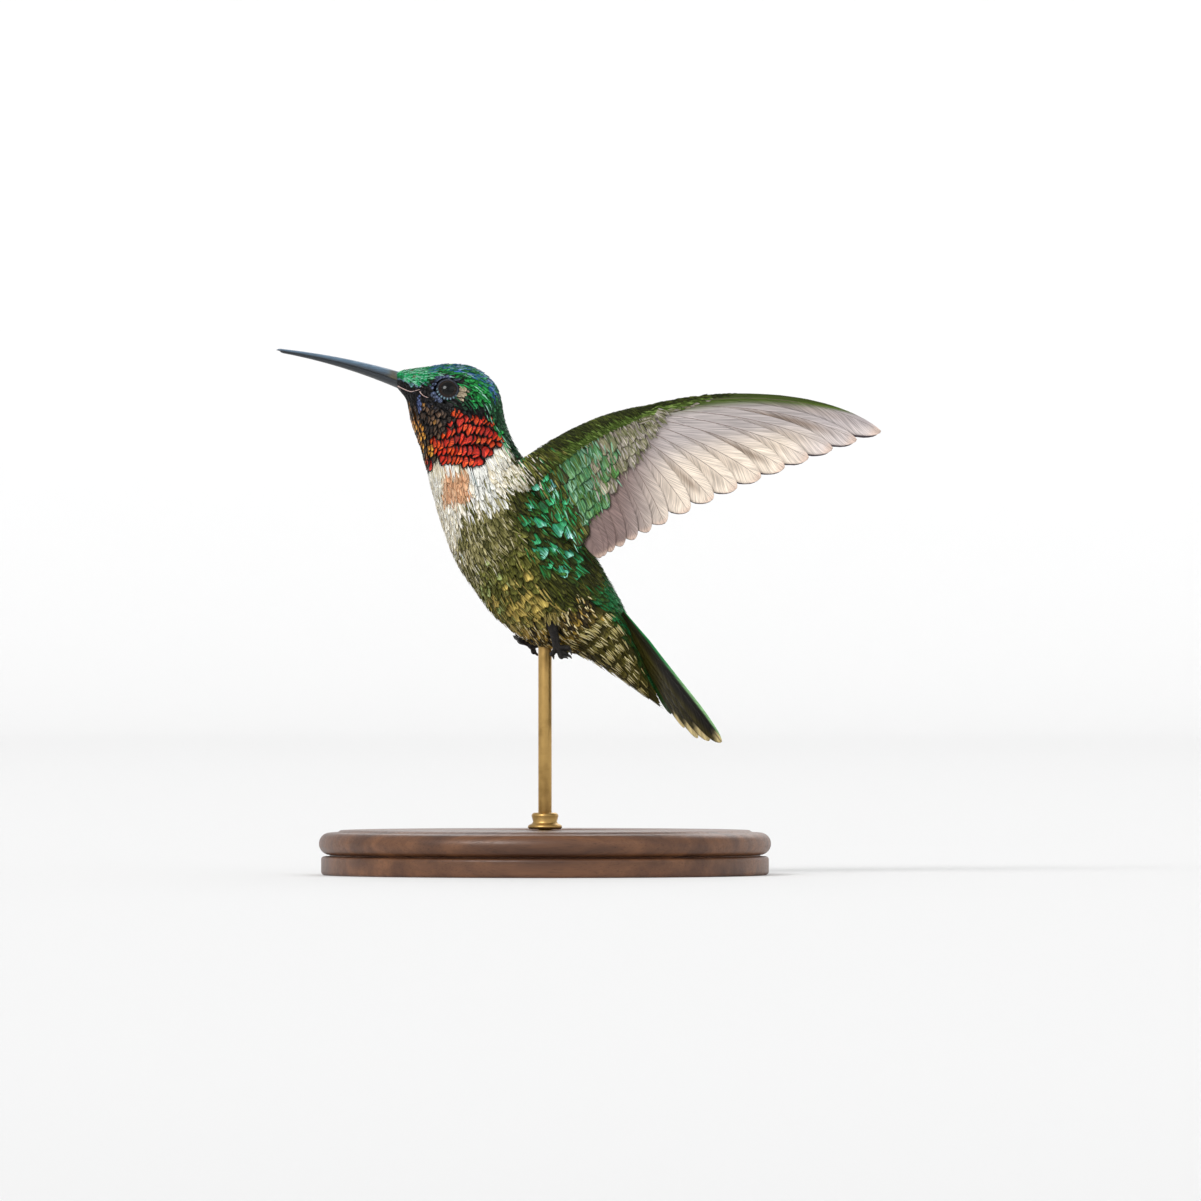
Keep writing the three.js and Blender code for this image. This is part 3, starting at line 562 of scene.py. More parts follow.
# Each coat: its tones from dark to light, as rows of weight, ground, heart and rim, its metal shine,
# the shape and size of its vanes, and the weights and colours of the fine strands over them.
plain = {"shape": "plume", "shine": 0.0, "size": (1.0, 1.0)}
# In the tone rows the heart colour is a painted highlight on each vane, and a dark rim is partly painted shade between
# the vanes, while the undertail's pale rims are its own bars. The palest aqua strands on the green coats are painted
# glints.
coats = {
    "crown": {
        "piece": "crown", "shape": "scale", "shine": 0.4, "size": (0.95, 0.95),
        "tones": (
            "3 0c4420 1f7a38 041a0a, 5 188038 34b054 06260f, 2 269450 5cc488 0a3018, "
            "1 3f9a78 b0e4d0 12482a"
        ),
        "strands": "4 1a7a38, 3 2fb05a, 1 a0dcc4, 3 08240f, 1 4878b4",
    },
    "foreCrown": {
        "piece": "crown", "shape": "scale", "shine": 0.4, "size": (0.95, 0.95),
        "tones": "3 0f6c3a 1fa45c 0a3a22, 5 16a45a 3cd488 0e4430, 1 5cb098 a8e8d0 2c5448",
        "strands": "3 1f8c58, 2 8cd4b4, 1 8a7068, 1 0f4a34",
    },
    # The blue on top of the crown is a painted highlight over its green.
    "blueCrown": {
        "piece": "crown", "shape": "scale", "shine": 0.4, "size": (0.95, 0.95),
        "tones": "3 146030 269048 0a3018, 3 208446 48b070 0c3a1c, 2 2a5ca0 86acd8 12345c",
        "strands": "3 1c7640, 2 3f70b4, 1 9cc4dc, 1 123f38",
    },
    "nape": {
        "piece": "crown", "shape": "scale", "shine": 0.3, "size": (1.0, 1.0),
        "tones": "3 103a1e 226038 08200f, 3 1b4c2c 357c4c 0c2818, 1 2f6a50 74a88c 0e3020",
        "strands": "4 143f24, 2 2f6c42, 1 84a892",
    },
    "eyeRing": {
        "piece": "face", "shape": "scale", "shine": 0.1, "size": (0.8, 0.8),
        "tones": "2 262c3c 465068 11131b, 3 39445c 5f6c8c 1b2030, 1 55637f 8593b0 2a3044",
    },
    "lores": {
        "piece": "face", "shape": "scale", "shine": 0.2, "size": (0.7, 0.7),
        "tones": "2 4a6474 6f8fa0 24323c, 3 5f7f90 8aaaba 30424e, 1 6a7460 8c947c 343a2c",
    },
    "eyeSpot": {
        "piece": "face", "shape": "plume", "shine": 0.0, "size": (0.7, 0.7),
        "tones": "1 8f8068 b3a387 5d523f, 2 a3937a c4b598 6d6049",
    },
    "mask": {
        "piece": "face", "shape": "scale", "shine": 0.1, "size": (0.85, 0.85),
        "tones": "5 0c0b0b 171517 050505, 2 17151a 2f2d38 0a090b",
        "strands": "5 0a0909, 1 33323e",
    },
    "cheek": {
        "piece": "face", "shape": "scale", "shine": 0.2, "size": (0.95, 0.95),
        "tones": "4 0c0d0b 191c18 050505, 2 12301e 23583a 08120b, 1 1d6a3c 3ca868 0a1c10",
        "strands": "4 0c0d0b, 2 1d5c38, 1 5cac84",
    },
    "chinDots": {
        "piece": "face", "shape": "scale", "shine": 0.15, "size": (0.7, 0.7),
        "tones": "1 4c5a84 6f7eac 1a2036",
    },
    # The gorget's near-black rims are partly the scales' own dark edges and partly painted shade in the gaps between
    # them.
    "gold": {
        "stray": 0.2, "piece": "gorget", "shape": "disc", "shine": 0.2, "size": (1.1, 1.6),
        "tones": "4 2a1c0c 4a3418 0a0604, 2 8a5418 d08c24 0d0703, 3 b8761c f0b03c 100904",
    },
    "umber": {
        "stray": 0.2, "piece": "gorget", "shape": "square", "shine": 0.1, "size": (1.0, 1.6),
        "tones": (
            "4 1c130c 34251c 060404, 3 33241a 5a4636 080604, 2 4a3426 80644c 0a0705, "
            "1 6e4a24 b08040 0c0804"
        ),
    },
    "ruby": {
        "stray": 0.2, "piece": "gorget", "shape": "square", "shine": 0.2, "size": (1.05, 1.85),
        "tones": (
            "3 64100a b4200f 0a0202, 4 a01a10 e0340f 0c0202, 4 b42a10 f25c18 0e0302, "
            "2 a8380f f08a2c 100502"
        ),
    },
    "collar": {
        "piece": "collar", **plain,
        "tones": "1 c2b68e ded4b4 94885c, 2 e6dec6 f6f0de c8ba9c, 5 f8f2e2 fdfaf2 e2d8c0",
        "strands": "6 fdfaf0, 2 ece2c8, 1 948a5c, 1 cde4e8",
    },
    "skyCollar": {
        "piece": "collar", **plain,
        "tones": "1 a3aca0 c3cac0 747c70, 1 b9ccd2 d3e3e8 8ea4ac, 4 e6e6de f6f6f0 bfc0b6",
        "strands": "1 bcdbe8, 5 f4f4ee, 1 8fa3a4, 1 9a9474",
    },
    "peach": {
        "piece": "collar", **plain,
        "tones": "3 d49f78 e2b490 bc8a62, 3 deae86 eac4a0 c89870",
        "strands": "4 e2b28a, 2 eec8a4, 1 cc9c74",
    },
    "breast": {
        "piece": "breast", **plain,
        "tones": (
            "3 464a1c 5e6230 2c2e10, 4 5c592c 767246 3d3b18, 3 7a7444 969060 545028, "
            "2 9a9264 b8b084 6f683c, 1 bab08c dad2b0 8a8054"
        ),
        "strands": "4 5c5c2c, 3 8d8754, 2 c6be98, 2 3c3e18, 1 e6e0c6",
    },
    "flank": {
        "piece": "flank", **plain,
        "tones": (
            "3 282b0a 383c12 181a04, 4 383b10 4e521c 23250a, 3 48481a 626428 2d2d0e, "
            "1 5a5624 7c7634 383412"
        ),
        "strands": "4 30330e, 3 4a4e18, 2 667028, 1 8a8440, 1 2f7038",
    },
    "emeraldFlank": {
        "piece": "flank", **plain,
        "tones": "3 2b3a10 36501a 1a2206, 3 34561c 3f7a34 20300c, 1 22703c 3fae6c 20300c",
        "strands": "3 2c3a0e, 2 2a7a3e, 2 3cb070, 2 8fdcc0, 1 c8f0ec", "veil": 0.6,
    },
    "back": {
        "piece": "back", "shape": "scale", "shine": 0.35, "size": (1.0, 1.0),
        "tones": "5 39480f 54661c 1e2408, 3 2c5a22 4a8638 18280c, 1 22763c 4cb068 163016",
        "strands": "4 3c450e, 3 34642a, 1 5a9c50",
    },
    "belly": {
        "piece": "belly", "shape": "tile", "shine": 0.0, "size": (1.15, 1.3), "veil": 0.55,
        "tones": (
            "4 3a3c12 4a4c1c 32340e, 4 54541e 6c6c2a 48481a, 2 6e6e30 8a8a44 5c5c26, "
            "3 92a05c bac888 7c8a4e"
        ),
        "strands": "4 3e4014, 3 626226, 2 8c8e4c, 1 a9b578, 1 a08c44",
    },
    "goldenBelly": {
        "piece": "belly", "shape": "tile", "shine": 0.0, "size": (1.15, 1.3), "veil": 0.6,
        "tones": (
            "3 4c4a1c 626026 3c3a14, 3 78703a 968c48 625a26, 4 a8944a c8b260 8a7838, "
            "2 a0aa66 c0c888 84904c"
        ),
        "strands": "4 b09a4c, 3 ccb464, 3 56561e, 1 8a9a50",
    },
    "vent": {
        "piece": "vent", "shape": "plume", "shine": 0.0, "size": (0.85, 0.7), "lean": 0.4, "short": 0.55,
        "tones": (
            "4 2c2412 44381c 1a150a, 3 5a4a20 7c6a30 342a10, 3 9a7e34 c4a450 665420, "
            "2 c4b070 e6d8a0 8c7840"
        ),
        "strands": "4 c8a452, 3 ecdca8, 5 201c08, 1 5fa468",
    },
    "undertail": {
        "piece": "undertail", "shape": "square", "shine": 0.0, "size": (1.15, 1.5), "veil": 0.5,
        "tones": "2 332f0c 433e14 544c20, 3 423c10 544e1a 6c6430, 2 4e4816 605a20 847a44",
        "strands": "5 3c380e, 2 5e581e, 1 2c6a34",
    },
    "uppertail": {
        "piece": "rump", "shape": "scale", "shine": 0.3, "size": (0.95, 0.95),
        "tones": "3 28441a 3c6228 182a0c, 3 1c6434 329454 1a3614, 1 349462 7cd0a0 1f4a24",
        "strands": "3 35480f, 3 257a44, 1 84c8a0",
    },
    "spangle": {
        "piece": "spangle", "shape": "square", "shine": 0.1, "size": (1.6, 1.6),
        "tones": (
            "2 14562c 279a50 20300c, 3 1d7e48 50c48c 243812, 3 349a74 9ce0ce 283c18, "
            "4 60b0aa d4f4f4 2c4420"
        ),
    },
}
coatNames = list(coats)
coatPieces = {
    "crown": (iridescentPlumage, "head_plumage"),
    "face": (iridescentPlumage, "head_plumage"),
    "gorget": (gorgetPlumage, "gorget_plumage"),
    "collar": (softPlumage, "breast_plumage"),
    "breast": (softPlumage, "breast_plumage"),
    "flank": (softPlumage, "breast_plumage"),
    "spangle": (squarePlumage, "back_plumage"),
    "back": (iridescentPlumage, "back_plumage"),
    "belly": (softPlumage, "breast_plumage"),
    "vent": (softPlumage, "breast_plumage"),
    "undertail": (barredPlumage, "breast_plumage"),
    "rump": (iridescentPlumage, "back_plumage"),
}

eyeSpec = {"centre": (-13.0, 3.0, 64.6), "radius": 2.0, "ring": 2.3, "clear": 1.5}


# The eye's centre, the way it faces and two directions across it, from the head's surface there.
def eyeFrame(side):
    x, y, z = eyeSpec["centre"]
    place, angle = np.meshgrid(np.linspace(1, 6, 301), side * np.linspace(0.2, 2.4, 301), indexing="ij")
    points = bodyPoint(place, angle, 0.0)
    nearest = np.argmin((points[..., 0] - x) ** 2 + (points[..., 2] - z) ** 2)
    here = place.flat[nearest], angle.flat[nearest]
    alongP, alongQ = paces(bodyPoint, np.array([here[0]]), np.array([here[1]]))
    facing = np.cross(alongP[0], alongQ[0])
    facing /= np.linalg.norm(facing) * np.sign(facing[1] * side)
    rearward = alongP[0] - facing * np.dot(alongP[0], facing)
    rearward /= np.linalg.norm(rearward)
    upward = np.cross(facing, rearward) * side
    return np.array([x, side * y, z]), facing, rearward, upward * np.sign(upward[2])


eyeFrames = {side: eyeFrame(side) for side in (-1, 1)}


# How far points lie from the eye's axis, and whether that is behind the eye.
def besideEye(points):
    nearest = np.full(points.shape[:-1], 99.0)
    behind = np.zeros(points.shape[:-1])
    height = np.zeros(points.shape[:-1])
    for side, (centre, facing, rearward, _) in eyeFrames.items():
        offset = points - centre
        depth = offset @ facing
        apart = np.linalg.norm(offset - depth[..., None] * facing, axis=-1)
        apart = np.where((depth > 0) & (points[..., 1] * side > 0), apart, 99.0)
        closer = apart < nearest
        nearest = np.where(closer, apart, nearest)
        behind = np.where(closer, offset @ rearward, behind)
        height = np.where(closer, offset[..., 2], height)
    return nearest, behind, height


# The shining squares on the flank: their places seen from the side, x and z.
spangleSpec = {
    "spots": (
        (-0.4, 53.2), (-1.5, 51.9), (0.7, 51.9), (0.7, 50.1), (-2.0, 49.5), (1.9, 48.2), (-0.4, 47.2), (3.5, 45.9),
        (1.5, 45.8), (-1.1, 45.0), (1.1, 43.8), (3.1, 43.0), (0.5, 41.4), (2.6, 40.9), (4.3, 40.2), (-2.5, 47.3),
        (2.8, 50.0), (-0.2, 48.8), (2.0, 46.9), (4.4, 44.2), (-0.9, 43.2), (4.6, 42.2),
    ),
    "length": 1.9, "width": 1.5, "sunk": 0.5, "back": 1.2,
}


# How near points come to the nearest of a few spots, as seen from the side.
def nearestSpot(points, spots):
    spots = np.array(spots)
    apart = np.hypot(points[..., None, 0] - spots[:, 0], points[..., None, 2] - spots[:, 1])
    return apart.min(axis=-1)


# The coat of each place, as a number in coatNames. chance breaks up the edges.
def coatAt(place, angle, chance):
    front = (1 - np.cos(angle)) / 2
    fuzz = chance - 0.5
    points = bodyPoint(place, angle, 0.0)
    apart, behind, height = besideEye(points)
    inGorget = place < markLine("gorgetEnd", front)
    onCollar = place < markLine("collarEnd", front) + 1.0 * fuzz
    crownEdge = markLine("crownEdge", place)
    dotted = nearestSpot(points, marks["chinDots"]) < 0.28
    spangled = (nearestSpot(points, spangleSpec["spots"]) < 0.75 + 0.5 * chance) & (front < 0.5)
    backEdge = 0.035 + 0.15 * smooth(place, 10.8, 11.4)
    flankEdge = 0.28 + 0.16 * smooth(place, 7.4, 8.8)
    ragged = fuzz * (0.04 + 0.08 * smooth(place, 2.6, 3.6))
    ring = eyeSpec["ring"] + 0.45 * np.clip(-behind / 1.5, 0, 1) - 0.3
    goldEnd = (place < 4.3) | (chance < 0.55)
    (peachFront, peachBack), (peachLow, peachHigh) = marks["peach"]
    x, z = points[..., 0] - 0.6 * fuzz, points[..., 2] - 0.8 * fuzz
    peachy = (x > peachFront) & (x < peachBack) & (z > peachLow) & (z < peachHigh)
    rules = (
        ("eyeSpot", (apart < 2.6) & (apart > 1.5) & (behind > 1.15) & (np.abs(height - 0.2) < 0.95)),
        ("eyeRing", (apart < ring + 0.4 * fuzz) & (front > crownEdge - 0.1)),
        ("uppertail", (place > 11.0 + 0.4 * fuzz) & (front < 0.25 + 0.08 * fuzz)),
        ("undertail", place > 11.75 + 0.3 * fuzz),
        ("vent", ((place > 11.05 + 0.3 * fuzz) & (front > 0.24)) | ((place > 10.7 + 0.4 * fuzz) & (front > 0.8))),
        ("nape", (front < crownEdge) & (place > 5.1 + 0.5 * fuzz) & (place < 7.2)),
        ("blueCrown", (front < 0.07 + 0.05 * chance) & (place > 2.2) & (place < 5.2)),
        ("foreCrown", (front < crownEdge + ragged) & (place < 2.4 + 0.8 * fuzz)),
        ("crown", (front < crownEdge + ragged) & (place < 7)),
        ("lores", (front < crownEdge + 0.13 - 0.045 * place) & (place < 2.4)),
        ("chinDots", dotted),
        ("cheek", (place > 3.3) & (place < 6.5) & (front < markLine("gorgetTop", place) - 0.08 + 0.1 * fuzz)),
        ("mask", (place < 6.5) & ((place < 1.2) | (front < markLine("gorgetTop", place)))),
        ("gold", inGorget & (front > 0.84 + 0.03 * fuzz) & goldEnd),
        ("umber", inGorget & (place < markLine("brownEnd", front) + 0.5 * fuzz)),
        ("ruby", inGorget),
        ("back", (front < backEdge + 0.05 * fuzz) & (place > 7.0)),
        ("peach", onCollar & peachy),
        ("skyCollar", onCollar & (place > 6.4) & (np.abs(front - 0.46) < 0.1)),
        ("collar", onCollar),
        ("emeraldFlank", spangled & ~onCollar),
        ("goldenBelly", (place > 9.2 + 1.4 * chance) & (front > 0.58 + 0.2 * fuzz)),
        ("flank", (front < flankEdge + 0.14 * fuzz) | ((place > 10.2) & (front < 0.58))),
        ("belly", place > 8.9 + 0.6 * fuzz),
    )
    numbers = [np.full(place.shape, coatNames.index(name)) for name, _ in rules]
    return np.select([rule for _, rule in rules], numbers, coatNames.index("breast"))


# Soft patches a few millimetres across, from 0 to 1, which neighbouring vanes share.
def patches(points):
    x, y, z = np.moveaxis(points, -1, 0)
    waves = np.sin(1.9 * x + 1.1 * z) + np.sin(2.3 * z - 0.9 * x + 1.7 * y) + np.sin(1.3 * x + 2.1 * y + 0.6 * z)
    return 0.5 + waves / 6


# How light a body vane is beside others of its coat: the front of the breast is palest.
def lightness(place, angle, points):
    front = (1 - np.cos(angle)) / 2
    pale = smooth(front, 0.3, 0.95) * (1 - smooth(place, 8.6, 10.2)) * smooth(place, 6.5, 7.4)
    light = 0.5 * patches(points) + 0.5 * rng.random(place.shape) + 0.25 * (pale - 0.3) * (place > 6.5)
    return np.clip(light, 0, 0.999)


# Ground, heart and rim colours for vanes of one coat, from how light each is. A row holds a weight
# and one code for each of the colours.
def tonesFor(tones, light):
    rows = [row.split() for row in tones.split(",")]
    weights = np.array([row[0] for row in rows], float)
    ends = np.cumsum(weights) / weights.sum()
    picks = np.minimum(np.searchsorted(ends, light), len(rows) - 1)
    shade = rng.uniform(0.88, 1.12, (len(light), 1))
    columns = list(zip(*rows))[1:]
    return [np.clip(np.array([paint(code) for code in column])[picks] * shade, 0, 0.98) for column in columns]


# Sizes along the body by ring: how far rows stand apart, how wide a vane is, how deep the coat is.
rowSizes = {
    "apart": ((0.0, 0.34), (1.0, 0.4), (3.0, 0.52), (5.0, 0.62), (7.0, 0.74), (9.0, 0.85), (11.5, 1.0), (14.0, 1.5)),
    "width": ((0.0, 0.42), (1.0, 0.52), (3.0, 0.68), (5.0, 0.84), (7.0, 0.9), (9.0, 1.05), (11.5, 1.1), (14.0, 1.6)),
    "depth": ((0.0, 0.22), (1.0, 0.32), (3.0, 0.42), (6.0, 0.55), (9.0, 0.75), (11.5, 0.7), (14.0, 0.35)),
}
vaneSizes = {
    "scale": {"long": 2.5, "wide": 1.25, "curl": 0.10, "thick": 0.05},
    "disc": {"long": 2.2, "wide": 1.08, "curl": 0.04, "thick": 0.05},
    "square": {"long": 1.9, "wide": 1.1, "curl": 0.05, "thick": 0.05},
    "tile": {"long": 1.9, "wide": 1.0, "curl": 0.03, "thick": 0.05},
    "plume": {"long": 3.3, "wide": 1.15, "curl": 0.06, "thick": 0.05},
    "wisp": {"long": 3.6, "wide": 0.8, "curl": -0.1, "thick": 0.05},
    "strand": {"long": 3.4, "wide": 1.0, "curl": 0.0, "thick": 0.04},
}
smallBlank = vaneBlank(4, 5)
strandBlank = vaneBlank(1, 4)


def sizeAt(name, place):
    knots, sizes = zip(*rowSizes[name])
    return np.interp(place, knots, sizes)


# The outline of a vane in shares of its half width and length; ragged is random per vane and column.
def vaneOutline(shape, u, v, ragged):
    opening = np.minimum(1, 0.8 + 0.5 * v) if shape == "tile" else np.minimum(1, 0.45 + 1.1 * v)
    if shape in ("scale", "disc"):
        closing = np.sqrt(1 - 0.8 * np.clip((v - 0.66) / 0.34, 0, 1) ** 2.4)
        tip = 0.05 * ragged
    elif shape == "tile":
        closing = np.sqrt(1 - 0.35 * np.clip((v - 0.85) / 0.15, 0, 1) ** 3)
        tip = 0.22 * ragged
    elif shape == "square":
        closing = np.sqrt(1 - 0.55 * np.clip((v - 0.75) / 0.25, 0, 1) ** 3)
        tip = 0.1 * ragged
    elif shape == "strand":
        closing = 1 - 0.9 * np.clip((v - 0.3) / 0.7, 0, 1) ** 1.5
        tip = 0 * ragged
    elif shape == "plume":
        closing = np.sqrt(1 - 0.88 * np.clip((v - 0.45) / 0.55, 0, 1) ** 2)
        tip = 0.2 * ragged
    else:
        closing = np.sqrt(1 - 0.8 * np.clip((v - 0.2) / 0.8, 0, 1) ** 1.5)
        tip = 0.34 * ragged
    bowed = 0.1 * (1 - u * u) * smooth(v, 0.4, 1.0)
    return u * opening * closing, v * (1 - tip * smooth(v, 0.5, 1.0)) + bowed


# Lays vanes on a surface. roots holds one array for each of p, q, length, width, depth, rise, skew.
def layVanes(surface, roots, shape, blank=smallBlank):
    count = len(roots["p"])
    spec = vaneSizes[shape]
    u = blank["u"][None, :]
    v = 1 - (1 - blank["v"][None, :]) ** 1.35
    ragged = rng.random((count, blank["column"].max() + 1))[:, blank["column"]]
    across, along = vaneOutline(shape, u, v, ragged)
    held = {key: value[:, None] for key, value in roots.items()}
    alongP, alongQ = paces(surface, roots["p"], roots["q"])
    paceP = np.maximum(np.linalg.norm(alongP, axis=-1)[:, None], 0.05)
    paceQ = np.maximum(np.linalg.norm(alongQ, axis=-1)[:, None], 0.05)
    across = across * held["width"] / 2 * spec["wide"]
    along = along * held["length"]
    p = held["p"] + (along * np.cos(held["skew"]) - across * np.sin(held["skew"])) / paceP
    q = held["q"] + (along * np.sin(held["skew"]) + across * np.cos(held["skew"])) / paceQ
    roll = rng.normal(0, 0.09, (count, 1))
    lift = held["rise"] * v ** 0.75 - held["depth"] + roll * across
    lift = lift - spec["curl"] * (across / held["width"]) ** 2 * 4 * held["width"]
    lift = lift - spec["thick"] * blank["under"][None, :] * (1 - 0.5 * u * u)
    return surface(p, q, lift)


def smallBakeMap(u, v, blank=smallBlank):
    patch = 0.003  # how far across each vane's patch of the map is
    corner = np.stack([blank["u"] / 2, blank["v"] - 0.5], -1) * patch
    return np.stack([u, v], -1)[:, None, :] + corner[None]


# One batch of vanes as joinCoat wants it. Strands have one colour for tint, heart and rim.
def vanePart(points, colours, shine, mapU, mapV, blank=smallBlank):
    tint, heart, rim = colours if len(colours) == 3 else colours * 3
    return {
        "points": points, "tint": tint, "heart": heart, "rim": rim, "seed": rng.random(len(points)),
        "shine": np.full(len(points), shine), "map": smallBakeMap(mapU, mapV, blank),
    }


# Roots in staggered rows down the body, from the bill to the ends of the tail coverts.
def bodyRoots(apartSize, widthSize):
    rows = []
    place = 0.1
    turn = 0
    while place < 13.75:
        angles = np.linspace(0, 2 * math.pi, 24, endpoint=False)
        alongP, alongQ = paces(bodyPoint, np.full(24, place), angles)
        around = np.linalg.norm(alongQ, axis=-1).mean() * 2 * math.pi
        count = max(8, round(around / float(sizeAt("width", place)) / widthSize))
        angle = (np.arange(count) + 0.5 * (turn % 2)) / count * 2 * math.pi
        angle = angle + rng.normal(0, 0.06, count) * 2 * math.pi / count
        pace = np.linalg.norm(alongP, axis=-1)
        step = float(sizeAt("apart", place)) * apartSize
        places = place + rng.normal(0, 0.08, count) * step / pace.mean()
        rows.append(np.stack([places, angle], -1))
        place += step / (0.6 * pace.max() + 0.4 * pace.mean())
        turn += 1
    place, angle = np.concatenate(rows).T
    return place, angle, paceAlong(bodyPoint, place, angle)


def clearOfEye(points, blank):
    apart, _, _ = besideEye(points[:, blank["v"] > 0.35])
    return apart.min(axis=1) > eyeSpec["clear"]


def clearOfRod(points):
    reach = np.hypot(points[..., 0], points[..., 1])
    low = points[..., 2] < 38
    return np.where(low, reach, 99.0).min(axis=1) > 0.98


legSpec = {
    "shinRadii": (0.85, 0.6, 0.5), "toeRadii": (0.42, 0.34, 0.4, 0.24), "clawRadii": (0.2, 0.17, 0.05),
    "foot": 0.58, "droop": 0.12, "bare": 0.7, "voxel": 0.0001,
    "left": {"knee": (0.9, -4.9, 34.0), "ankle": (1.6, -4.5, 30.5), "toes": (
        ((1.5, -0.3, -0.1), (0.5, 0.1, -0.9)), ((1.2, 0.2, -0.9), (0.8, 0.1, -0.6)),
        ((0.6, -0.2, -1.2), (0.9, 0.0, -0.3)), ((-0.6, 0.2, -0.9), (0.2, 0.1, -0.7)),
    )},
    "right": {"knee": (1.4, 2.8, 31.5), "ankle": (-1.8, 3.3, 30.8), "toes": (
        ((-1.5, 0.5, 0.7), (-0.7, -0.1, 0.9)), ((-1.5, 0.0, 0.5), (-1.0, -0.1, 0.8)),
        ((-1.4, -0.5, 0.6), (-0.9, 0.1, 0.7)), ((0.3, 0.4, -0.9), (0.7, 0.2, -0.4)),
    )},
}


def legLine(label):
    return np.array(legSpec[label]["knee"]), np.array(legSpec[label]["ankle"])


# Whether vanes leave the legs bare. Each leg is given by its knee and ankle.
def clearOfLegs(points):
    clear = np.ones(len(points), bool)
    for label in wingSides:
        knee, ankle = legLine(label)
        axis = ankle - knee
        along = np.clip((points - knee) @ axis / (axis @ axis), 0, 1.5)
        apart = np.linalg.norm(points - knee - along[..., None] * axis, axis=-1)
        clear &= apart[:, 2:].min(axis=1) > legSpec["bare"]
    return clear


# One batch of vanes on the body: their points, colours and places on the bake map.
def bodyVanes(name, place, angle, width, length, rise, blank, shape, tones, skew=0.09, sunk=0.92):
    coat = coats[name]
    count = len(place)
    depth = sizeAt("depth", place)
    skew = coat.get("stray", skew)
    roots = {
        "p": place, "q": angle, "width": width * rng.uniform(1 - 1.3 * skew, 1 + 1.3 * skew, count),
        "length": length * rng.uniform(0.9, 1.1, count), "depth": depth * sunk,
        "rise": depth * rng.uniform(*rise, count),
        "skew": rng.normal(0, skew, count) + coat.get("lean", 0.0) * np.sin(angle),
    }
    points = layVanes(bodyPoint, roots, shape, blank)
    keep = clearOfEye(points, blank) & clearOfRod(points) & clearOfLegs(points) & (points[..., 0].max(axis=1) < 16)
    colours = [colour[keep] for colour in tonesFor(tones, lightness(place, angle, points.mean(axis=1)))]
    mapU = (angle / (2 * math.pi)) % 1
    return vanePart(points[keep], colours, coat["shine"], mapU[keep], (place / lastRing)[keep], blank)


# The whole body's vanes. Coats of one size share their rows.
def bodyCoat():
    made = {}
    for size in sorted({coat["size"] for coat in coats.values()}):
        place, angle, pace = bodyRoots(*size)
        seen = place + 1.9 * size[0] * sizeAt("apart", place) / pace  # where a vane's visible end lies
        worn = coatAt(np.clip(seen, 0, lastRing), angle, rng.random(len(place)))
        for name, coat in coats.items():
            pick = (worn == coatNames.index(name)) & (coat["size"] == size)
            if pick.any():
                width = sizeAt("width", place[pick]) * size[1]
                length = sizeAt("apart", place[pick]) * size[0] * vaneSizes[coat["shape"]]["long"]
                part = bodyVanes(
                    name, place[pick], angle[pick], width, length, (0.85, 1.05), smallBlank,
                    coat["shape"], coat["tones"],
                )
                made.setdefault(coat["piece"], []).append(part)
    return made


# Fine strands that lie over the softer coats.
strandSpec = {"apart": 0.95, "width": 0.36, "length": 3.6, "skew": 0.16}


def strandCoat():
    made = {}
    place, angle, pace = bodyRoots(strandSpec["apart"], strandSpec["width"])
    seen = place + 2.4 * sizeAt("apart", place) / pace
    worn = coatAt(np.clip(seen, 0, lastRing), angle, rng.random(len(place)))
    for name, coat in coats.items():
        pick = (worn == coatNames.index(name)) & (rng.random(len(place)) < coat.get("veil", 1.0))
        if "strands" in coat and pick.any():
            width = sizeAt("width", place[pick]) * strandSpec["width"] * 0.75
            length = sizeAt("apart", place[pick]) * strandSpec["length"] * coat.get("short", 1.0)
            part = bodyVanes(
                name, place[pick], angle[pick], width, length, (0.95, 1.2), strandBlank, "strand",
                coat["strands"], strandSpec["skew"],
            )
            made.setdefault(coat["piece"], []).append(part)
    return made


# Short pale strokes that lie in bars across the coverts under the tail.
barSpec = {
    "roots": (0.42, 0.2), "pace": 2.1, "share": 0.3, "width": 0.18, "length": 1.2, "along": (0.577, -0.817),
    "tones": "3 c4b678, 2 e0d4a0, 3 8c8248, 1 7ca468",
}


def barCoat():
    place, angle, pace = bodyRoots(*barSpec["roots"])
    seen = np.clip(place + 0.8 * barSpec["length"] / pace, 0, lastRing)
    spot = bodyPoint(seen, angle, 0.0)
    run = spot[:, [0, 2]] @ np.array(barSpec["along"]) / barSpec["pace"] + rng.normal(0, 0.06, len(place))
    share = barSpec["share"] * (0.2 + 1.7 * patches(1.7 * spot))
    worn = coatAt(seen, angle, rng.random(len(place)))
    pick = (worn == coatNames.index("undertail")) & (run % 1 < share) & (rng.random(len(place)) < 0.85)
    size = np.ones(pick.sum())
    return bodyVanes(
        "undertail", place[pick], angle[pick], barSpec["width"] * size, barSpec["length"] * size, (0.28, 0.4),
        strandBlank, "strand", barSpec["tones"], 0.14, 0.1,
    )


# The coordinates at which a surface passes nearest to each spot, as seen from the side, and how near.
def spotsOn(surface, spots, ps, qs):
    p, q = np.meshgrid(ps, qs, indexing="ij")
    points = surface(p, q, 0 * p)[..., None, :]
    apart = np.hypot(points[..., 0] - spots[:, 0], points[..., 2] - spots[:, 1]).reshape(-1, len(spots))
    nearest = apart.argmin(axis=0)
    return p.ravel()[nearest], q.ravel()[nearest], apart.min(axis=0)


